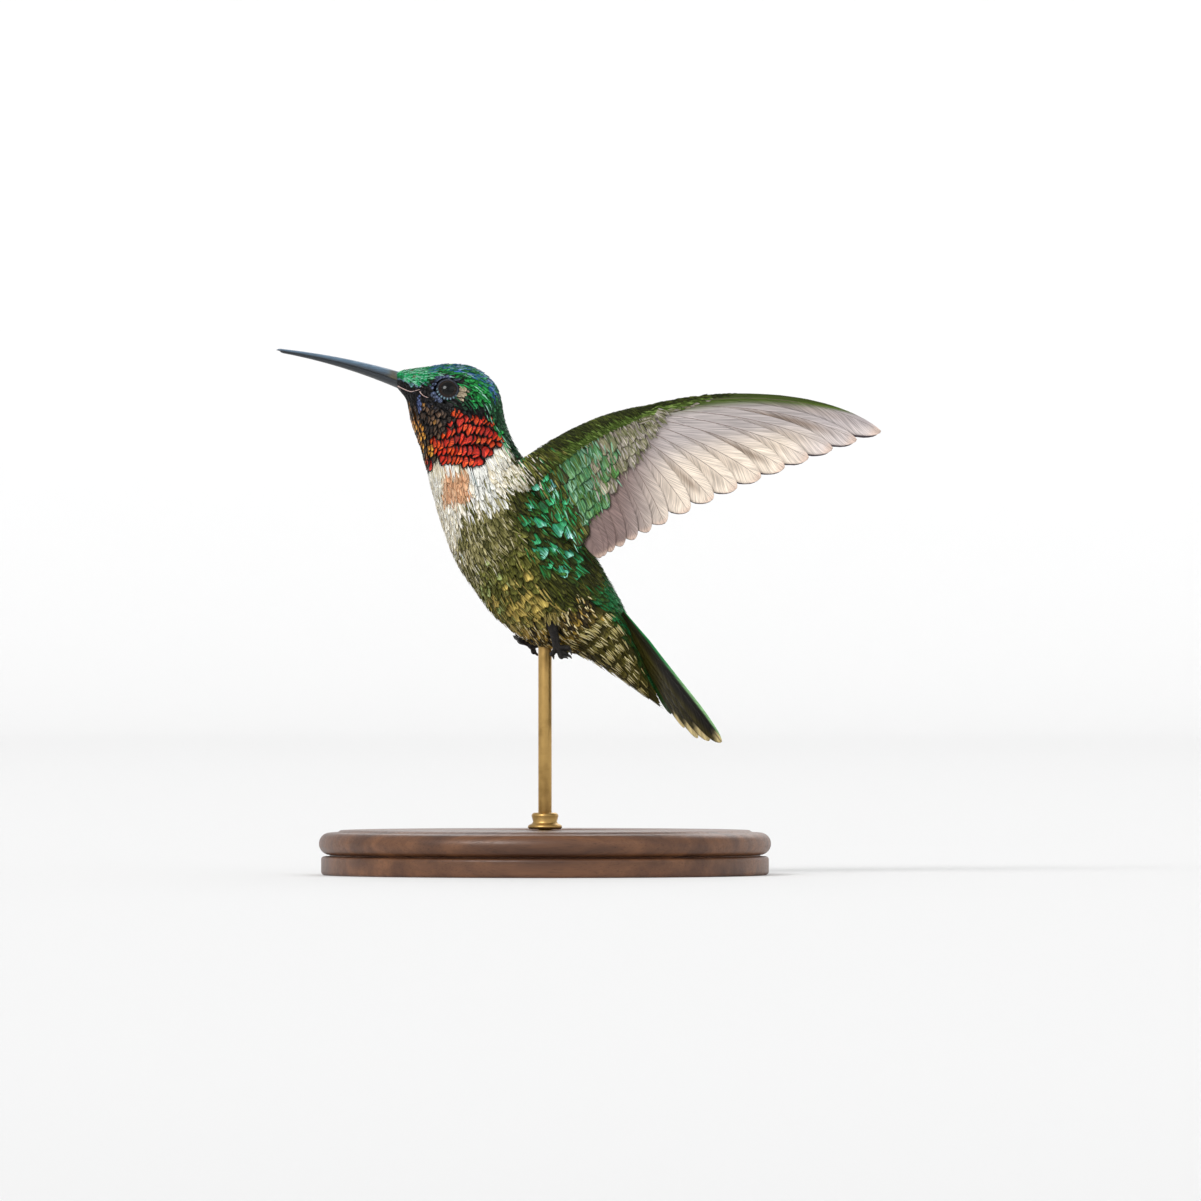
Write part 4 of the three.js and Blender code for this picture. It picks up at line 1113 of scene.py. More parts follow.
def spangleCoat(spots):
    parts = []
    for side in (-1, 1):
        place, angle, _ = spotsOn(bodyPoint, spots, np.linspace(7, 12, 201), side * np.linspace(0.15, 2, 121))
        pace = paceAlong(bodyPoint, place, angle)
        length = spangleSpec["length"] * rng.uniform(0.85, 1.2, len(spots))
        width = spangleSpec["width"] * rng.uniform(0.75, 1.2, len(spots))
        keep = np.abs(angle) > 0.3
        parts.append(bodyVanes(
            "spangle", (place - spangleSpec["back"] / pace)[keep], angle[keep], width[keep], length[keep],
            (0.5, 0.65), smallBlank, "tile", coats["spangle"]["tones"], 0.16, spangleSpec["sunk"],
        ))
    return parts


def joinCoat(name, parts, blank, material, slotName, *nodes):
    whole = {key: np.concatenate([part[key] for part in parts]) for key in parts[0]}
    fields = {key: whole[key] for key in ("tint", "heart", "rim", "seed", "shine")}
    piece = joinVanes(name, blank, whole["points"], fields, whole["map"])
    settle(piece, material, slotName, *nodes)
    print(name, len(whole["points"]), "vanes,", len(piece.data.polygons) * 2, "triangles")
    return piece


for pieceName, parts in bodyCoat().items():
    joinCoat(f"{pieceName}_feathers", parts, smallBlank, *coatPieces[pieceName])
for pieceName, parts in strandCoat().items():
    joinCoat(f"{pieceName}_strands", parts, strandBlank, strandPlumage, coatPieces[pieceName][1])
joinCoat("undertail_bars", [barCoat()], strandBlank, strandPlumage, "breast_plumage")


wingSpec = {
    "rootOut": 5.3, "splay": math.radians(13), "camber": 0.9,
    "leading": (26.0, 64.5, 0.0105),  # x and z of the highest point, and the bend
    "trailing": ((44.8, 59.3), (26.0, 52.9), (7.4, 42.5)),  # tip, bend, root
    "covertEdge": ((3.6, 44.6), (7.4, 48.6), (12.2, 55.2), (16.2, 62.0)),  # body, elbow, wrist, hand
    "covertRoots": (0.12, 0.96),
}
# x, z, half depth and half thickness of the arm from the shoulder to the end of the hand
armTable = np.array([
    (-5.0, 52.0, 2.3, 2.3), (-0.4, 55.2, 2.1, 1.9), (3.6, 58.0, 1.7, 1.5),
    (7.6, 60.1, 1.4, 1.2), (11.4, 61.5, 1.1, 0.9), (15.8, 62.9, 0.6, 0.5),
])


def leadingEdge(x):
    topX, topZ, bend = wingSpec["leading"]
    return topZ - bend * (x - topX) ** 2


# How far below the leading edge a point lies, in millimetres and as a share of the wing's breadth there.
def wingDepth(x, z):
    (tipX, tipZ), _, (rootX, rootZ) = wingSpec["trailing"]
    down = leadingEdge(x) - z
    trailing = rootZ + (tipZ - rootZ) * (x - rootX) / (tipX - rootX)
    return down, down / np.maximum(leadingEdge(x) - trailing, 1)


def wingOut(x, z):
    share = np.clip(wingDepth(x, z)[1], 0, 1)
    return wingSpec["rootOut"] + x * math.tan(wingSpec["splay"]) - wingSpec["camber"] * 4 * share * (1 - share)


def wingPoint(side, x, z, lift):
    return np.stack([x, side * (wingOut(x, z) + lift), z], -1)


# The arm's station at a share of its length, and its direction there. It runs straight on past its ends.
def armAt(share):
    last = len(armTable) - 1
    place = np.clip(share, 0, 1) * last
    ahead = splineAt(armTable, np.minimum(place + 0.01, last))
    behind = splineAt(armTable, np.maximum(place - 0.01, 0))
    slope = ahead[..., :2] - behind[..., :2]
    slope = slope / np.linalg.norm(slope, axis=-1, keepdims=True)
    station = splineAt(armTable, place)
    past = (share - np.clip(share, 0, 1)) * 22.0  # the arm is about 22 mm long
    station[..., :2] += slope * past[..., None]
    station[..., 2:] *= np.clip(1 - 0.3 * np.maximum(past, 0), 0.2, 1)[..., None]
    return station, slope


# The arm's surface: p turns from the leading edge, face 1 is the underside and -1 the upper side.
def armSurface(side, face):
    def surface(p, q, lift):
        station, slope = armAt(q)
        up = np.cos(p) * (station[..., 2] + lift)
        out = np.sin(p) * (station[..., 3] + lift) * face
        x = station[..., 0] - slope[..., 1] * up
        z = station[..., 1] + slope[..., 0] * up
        y = side * (wingOut(station[..., 0], station[..., 1]) + out)
        return np.stack([x, y, z], -1)
    return surface


# The plate of coverts: p goes from the arm to the coverts' edge, q along the arm.
def plateSurface(side, face):
    edge = np.array(wingSpec["covertEdge"])

    def surface(p, q, lift):
        q = np.clip(q, -0.1, 1.15)
        station, _ = armAt(between(wingSpec["covertRoots"], q))
        t = q[..., None]
        rim = ((1 - t) ** 3 * edge[0] + 3 * (1 - t) ** 2 * t * edge[1]
               + 3 * (1 - t) * t * t * edge[2] + t ** 3 * edge[3])
        x = station[..., 0] + (rim[..., 0] - station[..., 0]) * p
        z = station[..., 1] + (rim[..., 1] - station[..., 1]) * p
        half = 0.55 * station[..., 3] * (1 - p) + 0.4 * p
        return wingPoint(side, x, z, face * (half + lift))
    return surface


# The hand's leading edge: p runs outward over the roots of the first primaries, q down from the edge.
handSpec = {
    "start": 12.4, "reach": 13.0, "deep": 4.2, "narrowing": 0.75, "near": 0.45, "lift": 0.24,
    "rows": (0.03, 0.1, 0.18, 0.27, 0.37, 0.48), "apart": 0.06, "width": 0.5, "length": 1.6, "rise": 0.14,
}


def handSurface(side, face):
    def surface(p, q, lift):
        x = handSpec["start"] + handSpec["reach"] * p
        z = leadingEdge(x) - 0.12 - handSpec["deep"] * q * (1 - handSpec["narrowing"] * p)
        thick = handSpec["lift"] + handSpec["near"] * (1 - smooth(p, 0.0, 0.32)) * (1 - 0.5 * q)
        return wingPoint(side, x, z, face * (thick + lift))
    return surface


wingCoats = {
    "bandDark": {"shine": 0.1, "tones": "3 23290c 333b12 171b06, 3 2d3510 414a18 1c2108"},
    "bandMoss": {"shine": 0.15, "tones": "3 4a5f20 627830 2f3f14, 3 586c28 708040 394a18"},
    "rootPale": {"shine": 0.0, "tones": "2 b4aa80 d0c8a4 8a8050, 4 e8e0c8 f8f4e6 c0b690"},
    "rootOlive": {"shine": 0.0, "tones": "3 30330e 42461a 1e2008, 3 42441a 5a5c28 2a2c0e"},
    "tealCovert": {
        "shine": 0.1,
        "tones": (
            "3 3c6a34 548a48 2c5022, 3 4a7a4c 6f9c68 34583a, 3 5a8868 88ae90 40684c, "
            "1 86a08c b0c4b0 5e7864"
        ),
    },
    "greyCovert": {
        "shine": 0.05,
        "tones": (
            "2 66704c 848c66 4e5838, 3 7a765c 9a947a 5c5844, 3 8c8478 aca498 6a6258, "
            "1 a09a84 beb8a2 7c765f"
        ),
    },
    "upperGreen": {
        "shine": 0.35,
        "tones": "4 1f5a28 3a803e 12260c, 3 305c20 4c7c34 182810, 1 22704a 58ac80 12301c",
    },
}
wingCoats["spangle"] = coats["spangle"]
wingSizes = {
    "apart": 1.5, "rows": 10, "columns": 14, "width": 1.9, "long": 2.3, "armWidth": 0.8,
    "rootLine": (0.4, 55.3, 0.556),  # left of it the flank's plumage runs on over the wing: x, z, slope
}


# How far spots on the wing lie inside the line up to which it wears the flank's plumage.
def insideRoot(spot):
    lineX, lineZ, slope = wingSizes["rootLine"]
    return lineX + (lineZ - spot[..., 2]) * slope - spot[..., 0]


# One face of the wing's small feathers: over the arm first, then in rows down the plate.
def wingFace(side, face):
    parts = []
    surface = armSurface(side, face)
    count = 38
    for turn, p in enumerate(np.arange(0.0, 2.3, 0.36)):
        q = (np.arange(count) + 0.5 * (turn % 2)) / count * 1.02 - 0.02
        thin = armAt(q)[0][:, 2] / armTable[0, 2] * (1 - 0.85 * smooth(q, 0.75, 1.0))
        roots = {
            "p": np.full(count, p), "q": q, "width": wingSizes["armWidth"] * (0.45 + 0.7 * thin),
            "length": 1.7 * (0.4 + 0.7 * thin), "depth": 0.3 * (0.3 + 0.7 * thin) + 0.25 * smooth(q, 0.8, 1.0),
            "rise": 0.26 * (0.15 + 0.85 * thin), "skew": 0.75 + rng.normal(0, 0.1, count),
        }
        if face > 0:
            roots["skew"] = roots["skew"] * smooth(q, 0.08, 0.35)
            x = armAt(q)[0][:, 0] + 1.2 * rng.normal(0, 0.5, count)
            coat = np.where(p > 0.8 + 0.9 * rng.random(count), "bandMoss", "bandDark")
            coat = np.where(x < 0.6, "rootOlive", coat)
            coat = np.where(x < -3.2, "rootPale", coat)
        else:
            coat = np.full(count, "upperGreen")
        parts += wingPart(surface, roots, coat, "scale", q, 0.5 + 0.45 * face * p / 2.4)
    surface = handSurface(side, face)
    for turn, q in enumerate(handSpec["rows"]):
        p = np.arange(0.5 * (turn % 2), (1 - 0.9 * q) / handSpec["apart"]) * handSpec["apart"]
        p = p + rng.normal(0, 0.01, len(p))
        count = len(p)
        roots = {
            "p": p, "q": q + rng.normal(0, 0.01, count), "width": handSpec["width"] * (1 - 0.55 * p),
            "length": handSpec["length"] * (1 - 0.35 * p), "depth": np.full(count, 0.1),
            "rise": handSpec["rise"] * (1 - 0.5 * p), "skew": rng.normal(0.1, 0.08, count),
        }
        edge = q + 0.12 * rng.normal(0, 1, count)
        coat = np.select([edge < 0.12, edge < 0.4], ["bandDark", "bandMoss"], "greyCovert")
        coat = coat if face > 0 else np.full(count, "upperGreen")
        parts += wingPart(surface, roots, coat, "plume", 0.02 + 0.05 * p, np.full(count, 0.5 + 0.4 * face * q))
    surface = plateSurface(side, face)
    for turn in range(wingSizes["rows"]):
        finer = 1.0 if face > 0 else 0.78
        reach = 0.9 + turn * wingSizes["apart"] * finer
        count = round(wingSizes["columns"] / finer)
        q = (np.arange(count) + 0.5 * (turn % 2)) / count + rng.normal(0, 0.006, count)
        across = surface(np.ones(count), q, np.zeros(count)) - surface(np.zeros(count), q, np.zeros(count))
        edgeReach = np.linalg.norm(across, axis=-1)
        length = wingSizes["apart"] * wingSizes["long"] * finer * rng.uniform(0.92, 1.08, count)
        keep = reach + length * 0.75 < edgeReach + 0.5
        shape = "square" if face > 0 else "disc"
        roots = {
            "p": reach / edgeReach, "q": q, "width": wingSizes["width"] * finer * (1.1 - 0.45 * q),
            "length": length * (1.05 - 0.3 * q),
            "depth": np.full(count, 0.14), "rise": np.full(count, 0.3), "skew": 0.12 + rng.normal(0, 0.06, count),
        }
        if face > 0:
            coat = np.where(q + 0.3 * rng.random(count) > 0.62, "greyCovert", "tealCovert")
            spot = surface(roots["p"], q, np.zeros(count))
            inside = insideRoot(spot) + rng.normal(0, 0.3, count) > -0.3
            coat = np.where(inside, "rootOlive", coat)
        else:
            coat = np.full(count, "upperGreen")
        held = {key: value[keep] for key, value in roots.items()}
        parts += wingPart(surface, held, coat[keep], shape, q[keep], 0.5 + 0.45 * face * np.clip(held["p"], 0, 1))
    return parts


# Fine strands over the wing's leading band and coverts, and over its root where the flank's plumage runs on.
veilSpec = {
    "band": (110, 9), "plate": (64, 26), "hand": (46, 9), "width": 0.24, "length": 1.5, "share": 0.28,
    "tones": {
        "pale": "5 f6f1e2, 2 d6ccae, 1 847c50",
        "olive": "4 30330e, 3 4a4e18, 2 6a7030, 1 9a9450, 1 2f7e48",
        "emerald": "3 30400e, 2 2a7a3e, 3 3cae68, 1 9adcc4, 1 6f7a30",
        "dark": "4 272d0c, 3 3a4314, 1 556024",
        "moss": "3 4a5f20, 3 627c34, 1 86a052",
        "teal": "3 5a7a3c, 2 4c8a5c, 2 86b494, 1 3a5a28",
        "grey": "3 8a8a68, 2 a8a090, 2 6c6e4a, 1 b8b0a8",
    },
}


def veilParts(surface, p, q, kind, size, lift, skew, mapV):
    parts = []
    for name, tones in veilSpec["tones"].items():
        pick = kind == name
        count = pick.sum()
        if count == 0:
            continue
        low, high = lift
        roots = {
            "p": p[pick], "q": q[pick], "width": veilSpec["width"] * rng.uniform(0.8, 1.2, count),
            "length": veilSpec["length"] * size[pick] * rng.uniform(0.8, 1.2, count), "depth": -low[pick],
            "rise": (high - low)[pick] * rng.uniform(0.7, 1.1, count), "skew": skew[pick] + rng.normal(0, 0.15, count),
        }
        colours = tonesFor(tones, rng.random(count))
        points = layVanes(surface, roots, "strand", strandBlank)
        mapU = 0.02 + 0.94 * np.clip(q[pick], 0, 1)
        parts.append(vanePart(points, colours, 0.0, mapU, mapV[pick], strandBlank))
    return parts


def wingVeil(side):
    surface = armSurface(side, 1)
    along, around = veilSpec["band"]
    q = np.tile((np.arange(along) + 0.5) / along, around) + rng.normal(0, 0.003, along * around)
    p = np.repeat(np.linspace(0.05, 2.1, around), along) + rng.normal(0, 0.06, along * around)
    thin = armAt(q)[0][:, 2] / armTable[0, 2] * (1 - 0.8 * smooth(q, 0.75, 1.0))
    x = armAt(q)[0][:, 0] + rng.normal(0, 0.6, q.size) + rng.normal(0, 0.9, q.size)
    kind = np.select([x < -2.7, x < 0.8, p < 0.9 + 0.5 * rng.random(q.size)], ["pale", "olive", "dark"], "moss")
    faded = 0.3 * smooth(q, 0.8, 1.0)
    low, high = -0.2 * (0.3 + 0.7 * thin) - faded, 0.14 * (0.2 + 0.8 * thin) - faded
    parts = veilParts(surface, p, q, kind, 0.5 + 0.8 * thin, (low, high), 0.6 * smooth(q, 0.08, 0.4), 0.5 + 0.2 * p)
    surface = plateSurface(side, 1)
    along, down = veilSpec["plate"]
    q = np.repeat((np.arange(along) + 0.5) / along, down) + rng.normal(0, 0.01, along * down)
    p = np.tile((np.arange(down) + 0.5) / down, along) * 0.95 + rng.normal(0, 0.02, along * down)
    spot = surface(p, q, np.zeros(p.size))
    inside = insideRoot(spot) + rng.normal(0, 0.35, p.size) > -0.1
    keep = inside | (rng.random(p.size) < veilSpec["share"])
    p, q, inside, spot = p[keep], q[keep], inside[keep], spot[keep]
    shining = inside & (nearestSpot(spot, spangleSpec["spots"]) < 0.7 + 0.9 * rng.random(p.size))
    pale = inside & (spot[:, 0] + rng.normal(0, 0.8, p.size) < -1.6)
    teal = q + 0.3 * rng.random(p.size) < 0.62
    kind = np.select([pale, shining, inside, teal], ["pale", "emerald", "olive", "teal"], "grey")
    low, high = np.where(inside, -0.05, 0.05), np.where(inside, 0.3, 0.22)
    size = np.where(inside, 1.3, 1.0) * (1.1 - 0.4 * q)
    parts += veilParts(surface, p, q, kind, size, (low, high), np.zeros(p.size), 0.5 + 0.45 * p)
    along, down = veilSpec["hand"]
    p = np.repeat((np.arange(along) + 0.5) / along, down) + rng.normal(0, 0.01, along * down)
    q = np.tile(np.linspace(0.02, 0.5, down), along) + rng.normal(0, 0.02, along * down)
    p, q = p[q < 0.6 * (1 - p)], q[q < 0.6 * (1 - p)]
    kind = np.select([q < 0.1 + 0.1 * rng.random(p.size), q < 0.36], ["dark", "moss"], "grey")
    low, high = np.full(p.size, 0.02), np.full(p.size, 0.14)
    depth = np.full(p.size, 0.1)
    return parts + veilParts(handSurface(side, 1), p, q, kind, 1 - 0.5 * p, (low, high), depth, 0.5 + 0.3 * q)


# The shining squares that lie on the wing's root; the others stay for the body.
def wingSpangles(side):
    spots = np.array(spangleSpec["spots"])
    surface = plateSurface(side, 1)
    p, q, apart = spotsOn(surface, spots, np.linspace(0, 1, 121), np.linspace(-0.05, 0.6, 121))
    onWing = apart < 0.3
    p, q = p[onWing], q[onWing]
    count = len(p)
    pace = paceAlong(surface, p, q)
    roots = {
        "p": p - spangleSpec["back"] / pace, "q": q,
        "width": spangleSpec["width"] * rng.uniform(0.75, 1.2, count),
        "length": spangleSpec["length"] * rng.uniform(0.85, 1.2, count), "depth": np.full(count, 0.03),
        "rise": np.full(count, 0.3), "skew": rng.normal(0, 0.16, count),
    }
    return wingPart(surface, roots, np.full(count, "spangle"), "tile", q, 0.5 + 0.45 * p), spots[~onWing]


def wingPart(surface, roots, coat, shape, mapU, mapV):
    mapV = np.broadcast_to(mapV, mapU.shape)
    parts = []
    for name, spec in wingCoats.items():
        pick = coat == name
        if not pick.any():
            continue
        points = layVanes(surface, {key: value[pick] for key, value in roots.items()}, shape)
        light = np.clip(0.4 * patches(points.mean(axis=1)) + 0.6 * rng.random(pick.sum()), 0, 0.999)
        colours = tonesFor(spec["tones"], light)
        parts.append(vanePart(points, colours, spec["shine"], 0.02 + 0.94 * mapU[pick], mapV[pick]))
    return parts


# Flight feathers. Each row: base, bend and tip in the wing's plane, the two vanes' widths, and the order.
def wingFeathers():
    tip, bend, root = (np.array(point) for point in wingSpec["trailing"])

    def shaft(rootShare, trailShare, bulge):
        base = armAt(np.array(rootShare))[0][:2]
        end = bezierAt(tip, bend, root, trailShare)
        reach = end - base
        elbow = base + reach * 0.6 + np.array([-reach[1], reach[0]]) * bulge
        return base, elbow, end

    primaries = []
    for order in range(10):
        share = order / 9
        line = shaft(0.98 - 0.36 * share, 0.77 * share, 0.18 - 0.11 * math.sqrt(share))
        lead = 0.6 + 0.9 * min(1, 2 * share)
        primaries.append((*line, lead, 2.6 + 0.3 * share, order))
    secondaries = []
    for order in range(6):
        share = (order + 1) / 6
        line = shaft(0.6 - 0.35 * share, 1 - 0.23 * (1 - share) ** 1.6, 0.06 - 0.04 * share)
        secondaries.append((*line, 1.5, 2.2 - 0.9 * share, 10 + order))
    return primaries, secondaries


flightRows = 26
flightBlank = vaneBlank(14, flightRows)
flightSpec = {
    "shingle": 0.2, "arch": 0.1, "edge": 0.035, "shaft": 0.13,
    "atQuill": 0.45, "opening": 2.2, "taperFrom": 0.68, "atTip": 0.1,
}


def flightWidth(t):
    opening = np.minimum(1, flightSpec["atQuill"] + t * flightSpec["opening"])
    taper = np.clip((t - flightSpec["taperFrom"]) / (1 - flightSpec["taperFrom"]), 0, 1)
    return np.maximum(opening * np.sqrt(1 - taper ** 2), flightSpec["atTip"])


# The points of a set of flight feathers, in their own plane and with their lift off it.
def flightShape(rows):
    blankU = flightBlank["u"][None, :]
    u = np.sign(blankU) * np.abs(blankU) ** 1.25
    t = 1 - (1 - flightBlank["v"][None, :]) ** 1.35
    base, bend, tip = (np.array([row[k] for row in rows])[:, None, :] for k in range(3))
    lead = np.array([row[3] for row in rows])[:, None]
    trail = np.array([row[4] for row in rows])[:, None]
    centre = bezierAt(base, bend, tip, t[..., None])
    slope = bezierSlope(base, bend, tip, t[..., None])
    station = np.rint(flightBlank["v"] * flightRows).astype(int)
    waver = rng.normal(0, 0.012, (len(rows), flightRows + 1))[:, station]
    width = flightWidth(t) * (1 + waver)
    reach = np.where(u > 0, lead, trail) * u * width
    plane = centre + np.stack([-slope[..., 1], slope[..., 0]], -1) * reach[..., None]
    ridge = np.exp(-(u / 0.05) ** 2) * (1 - 0.75 * t)
    half = flightSpec["edge"] * (1.2 - np.abs(u)) + flightSpec["shaft"] * ridge
    face = 1 - 2 * flightBlank["under"][None, :]
    lift = flightSpec["shingle"] * width * u + flightSpec["arch"] * (1 - u * u) * width + face * half
    return plane, lift, u + 0 * t, t + 0 * lift, face + 0 * lift


# The wing feathers' colours: a green band along the leading edge, then lavender, cream and mauve.
def wingTint(x, z, u, t, under, order):
    down, share = wingDepth(x, z)
    lavender, cream, mauve = paint("b6adab"), paint("e8d9c8"), paint("745a54")
    brown, moss, olive, rosy = paint("84705f"), paint("4f6420"), paint("343e10"), paint("dec2b0")
    tone = mixed(lavender, cream, smooth(share, 0.3, 0.62) * smooth(x, 9, 19) * (1 - 0.75 * smooth(x, 31, 40)))
    # the brown streak beside each shaft is painted shadow along the shafts, stronger on every third feather
    streak = np.exp(-((u + 0.25) / 0.2) ** 2) * smooth(x, 12, 20) * smooth(t, 0.2, 0.45) * (1 - smooth(t, 0.75, 0.95))
    tone = mixed(tone, brown, streak * np.where(order % 3 == 1, 0.85, 0.4))
    tone = mixed(tone, mauve, 0.85 * (1 - smooth(x, 9, 18)))
    tone = mixed(tone, paint("cfc6ca"), 0.3 * smooth(t, 0.6, 0.9) * smooth(x, 30, 38))
    tone = mixed(tone, rosy, smooth(t, 0.93, 0.99) * 0.7)
    bandWidth = np.interp(x, (2, 8, 20, 33, 40, 44.8), (1.7, 1.9, 2.1, 1.3, 0.6, 0.2))
    band = 1 - smooth(down, 0.55 * bandWidth, 1.15 * bandWidth)
    green = mixed(olive, moss, smooth(down / bandWidth, 0.1, 0.6) * 0.8 + 0.2 * smooth(x, 20, 36))
    tone = mixed(tone, green, band)
    dusk = mixed(paint("4d4347"), paint("2f5a38"), 0.55 * band + 0.25 * (order >= 10))
    return np.where((under > 0)[..., None], tone, dusk)


def flightMap(count):
    half = np.where(flightBlank["under"] > 0.5, 0.51, 0.01)[None, :]
    strip = (np.arange(count)[:, None] + 0.5 + 0.45 * flightBlank["u"][None, :]) / count
    return np.stack([strip, half + 0.48 * flightBlank["v"][None, :] + 0 * strip], -1)


def flightMaterial(name, spec):
    material, tree, shader = newMaterial(name, **{"Specular IOR Level": 0.25})
    group = put(tree, "ShaderNodeGroup", node_tree=flightGroup)
    feed(tree, group.inputs["Vane"], put(tree, "ShaderNodeUVMap", uv_map="vane").outputs[0])
    feed(tree, group.inputs["Tint"], attributeOf(tree, "tint", "Color"))
    feed(tree, group.inputs["Seed"], attributeOf(tree, "seed", "Fac"))
    feed(tree, group.inputs["Shaft"], paint(spec["shaft"]))
    for field in ("Barbs", "Slant", "Contrast", "Shaft Width"):
        feed(tree, group.inputs[field], spec[field])
    feed(tree, shader.inputs["Base Color"], group.outputs["Color"])
    feed(tree, shader.inputs["Roughness"], ranged(tree, group.outputs["Height"], 0.0, 1.0, *spec["rough"]))
    bumpInto(tree, shader, group.outputs["Height"], 0.00003, 0.5)
    return material


wingVane = flightMaterial("wingVane", {
    "shaft": "6b5a52", "Barbs": 120.0, "Slant": 0.2, "Contrast": 0.75, "Shaft Width": 0.05, "rough": (0.62, 0.48),
})
tailVane = flightMaterial("tailVane", {
    "shaft": "0c0a08", "Barbs": 60.0, "Slant": 0.12, "Contrast": 0.7, "Shaft Width": 0.05, "rough": (0.6, 0.42),
})

for label, side in wingSides.items():
    under = wingFace(side, 1)
    joinCoat(
        f"wing_{label}_under_coverts", under, smallBlank, squarePlumage, "back_plumage", f"wing_{label}_coverts",
    )
    joinCoat(f"wing_{label}_strands", wingVeil(side), strandBlank, strandPlumage, "back_plumage")
    spangled, spotsLeft = wingSpangles(side)
    joinCoat(f"wing_{label}_spangles", spangled, smallBlank, squarePlumage, "back_plumage")
    joinCoat(f"wing_{label}_upper_coverts", wingFace(side, -1), smallBlank, iridescentPlumage, "back_plumage")
    for kind, rows in zip(("primaries", "secondaries"), wingFeathers()):
        plane, lift, u, t, face = flightShape(rows)
        points = wingPoint(side, plane[..., 0], plane[..., 1], lift)
        order = np.array([row[5] for row in rows])[:, None]
        tint = wingTint(plane[..., 0], plane[..., 1], u, t, face, order + 0 * t)
        seeds = rng.random(len(rows))
        fields = {"tint": tint, "seed": seeds}
        piece = joinVanes(f"wing_{label}_{kind}_feathers", flightBlank, points, fields, flightMap(len(rows)))
        settle(piece, wingVane, "flight_feathers", f"wing_{label}_{kind}")
joinCoat("spangle_feathers", spangleCoat(spotsLeft), smallBlank, *coatPieces["spangle"])
print("wings feathered")


tailSpec = {
    "root": (8.4, 0.0, 37.2), "drop": math.radians(62.5), "slope": 0.22, "bend": 0.014, "narrowing": 0.86,
    "lengths": (17.8, 20.4, 22.8, 24.4, 26.0), "splays": (2.5, 8, 13, 18, 22),
    "outer": (1.7, 1.7, 1.7, 1.7, 1.2), "inner": (1.5, 1.2, 1.7, 2.2, 2.4),
}


def tailPoint(side, along, out, lift):
    drop = tailSpec["drop"]
    rise = tailSpec["slope"] * np.abs(out) + tailSpec["bend"] * out ** 2 + lift
    x = tailSpec["root"][0] + along * math.cos(drop) + rise * math.sin(drop)
    z = tailSpec["root"][2] - along * math.sin(drop) + rise * math.cos(drop)
    return np.stack([x, side * out * tailSpec["narrowing"], z], -1)


def tailRow(order):
    splay = math.radians(tailSpec["splays"][order])
    length = tailSpec["lengths"][order]
    quill = np.array([0, 0.55 + 0.4 * order])
    ray = np.array([math.cos(splay), math.sin(splay)])
    bend = quill + ray * length * 0.55 + np.array([0, 0.12 * order])
    return quill + ray * 3, bend, quill + ray * length, tailSpec["outer"][order], tailSpec["inner"][order]


# The tail feathers' colours: black-brown with cream tips, green on the middle pair and the outer edge.
def tailTint(u, t, order):
    black, bronze, green = paint("100f0c"), paint("3e3a0e"), paint("2c9050")
    pale, cream, middle = paint("94c88c"), paint("e2d096"), paint("285a26")
    tone = mixed(black, bronze, 0.8 * smooth(-u, 0.3, 0.85) + 0.25 * (1 - smooth(t, 0.2, 0.5)))
    tone = mixed(tone, middle, 0.85 * (order == 0) * (1 - 0.6 * smooth(t, 0.75, 0.95)))
    edge = smooth(u, 0.4, 0.75) * (order == 4)
    tone = mixed(tone, mixed(green, pale, smooth(t, 0.35, 0.7)), edge)
    tipStart = np.where(order == 4, 0.9, 0.82) + 0.05 * np.abs(u)
    tip = smooth(t, tipStart, tipStart + 0.06) * (1 - 0.8 * np.exp(-(u / 0.16) ** 2) * (order == 4))
    return mixed(tone, cream, tip * (order > 0))


for pieceName, orders, side, nodes in (
    ("tail_left_feathers", (1, 2, 3, 4), -1, ("tail_left",)),
    ("tail_right_feathers", (1, 2, 3, 4), 1, ("tail_right",)),
    ("tail_middle_left_feather", (0,), -1, ("tail_middle",)),
    ("tail_middle_right_feather", (0,), 1, ()),
):
    plane, lift, u, t, _ = flightShape([tailRow(order) for order in orders])
    points = tailPoint(side, plane[..., 0], plane[..., 1], lift)
    tint = tailTint(u, t, np.array(orders)[:, None] + 0 * t)
    fields = {"tint": tint, "seed": rng.random(len(orders))}
    piece = joinVanes(pieceName, flightBlank, points, fields, flightMap(len(orders)))
    settle(piece, tailVane, "tail_feathers", *nodes)
print("tail feathered")


skinSpec = {"around": 64, "along": 110, "voxel": 0.0004, "below": 0.06, "armBelow": 0.3, "socket": 0.08}


def bodyTube(across, along):
    place = along * lastRing
    return bodyPoint(place, across * 2 * math.pi, -sizeAt("depth", place) - skinSpec["below"])


def armTube(side):
    def shape(across, along):
        lift = -skinSpec["armBelow"] * (1 - 0.6 * along)
        return armSurface(side, 1)(across * 2 * math.pi, along, lift)
    return shape


def ballOf(centre, radius, segments=48, rings=32):
    bm = bmesh.new()
    bmesh.ops.create_uvsphere(bm, u_segments=segments, v_segments=rings, radius=radius * mm)
    bmesh.ops.translate(bm, verts=bm.verts[:], vec=Vector(centre) * mm)
    return bm


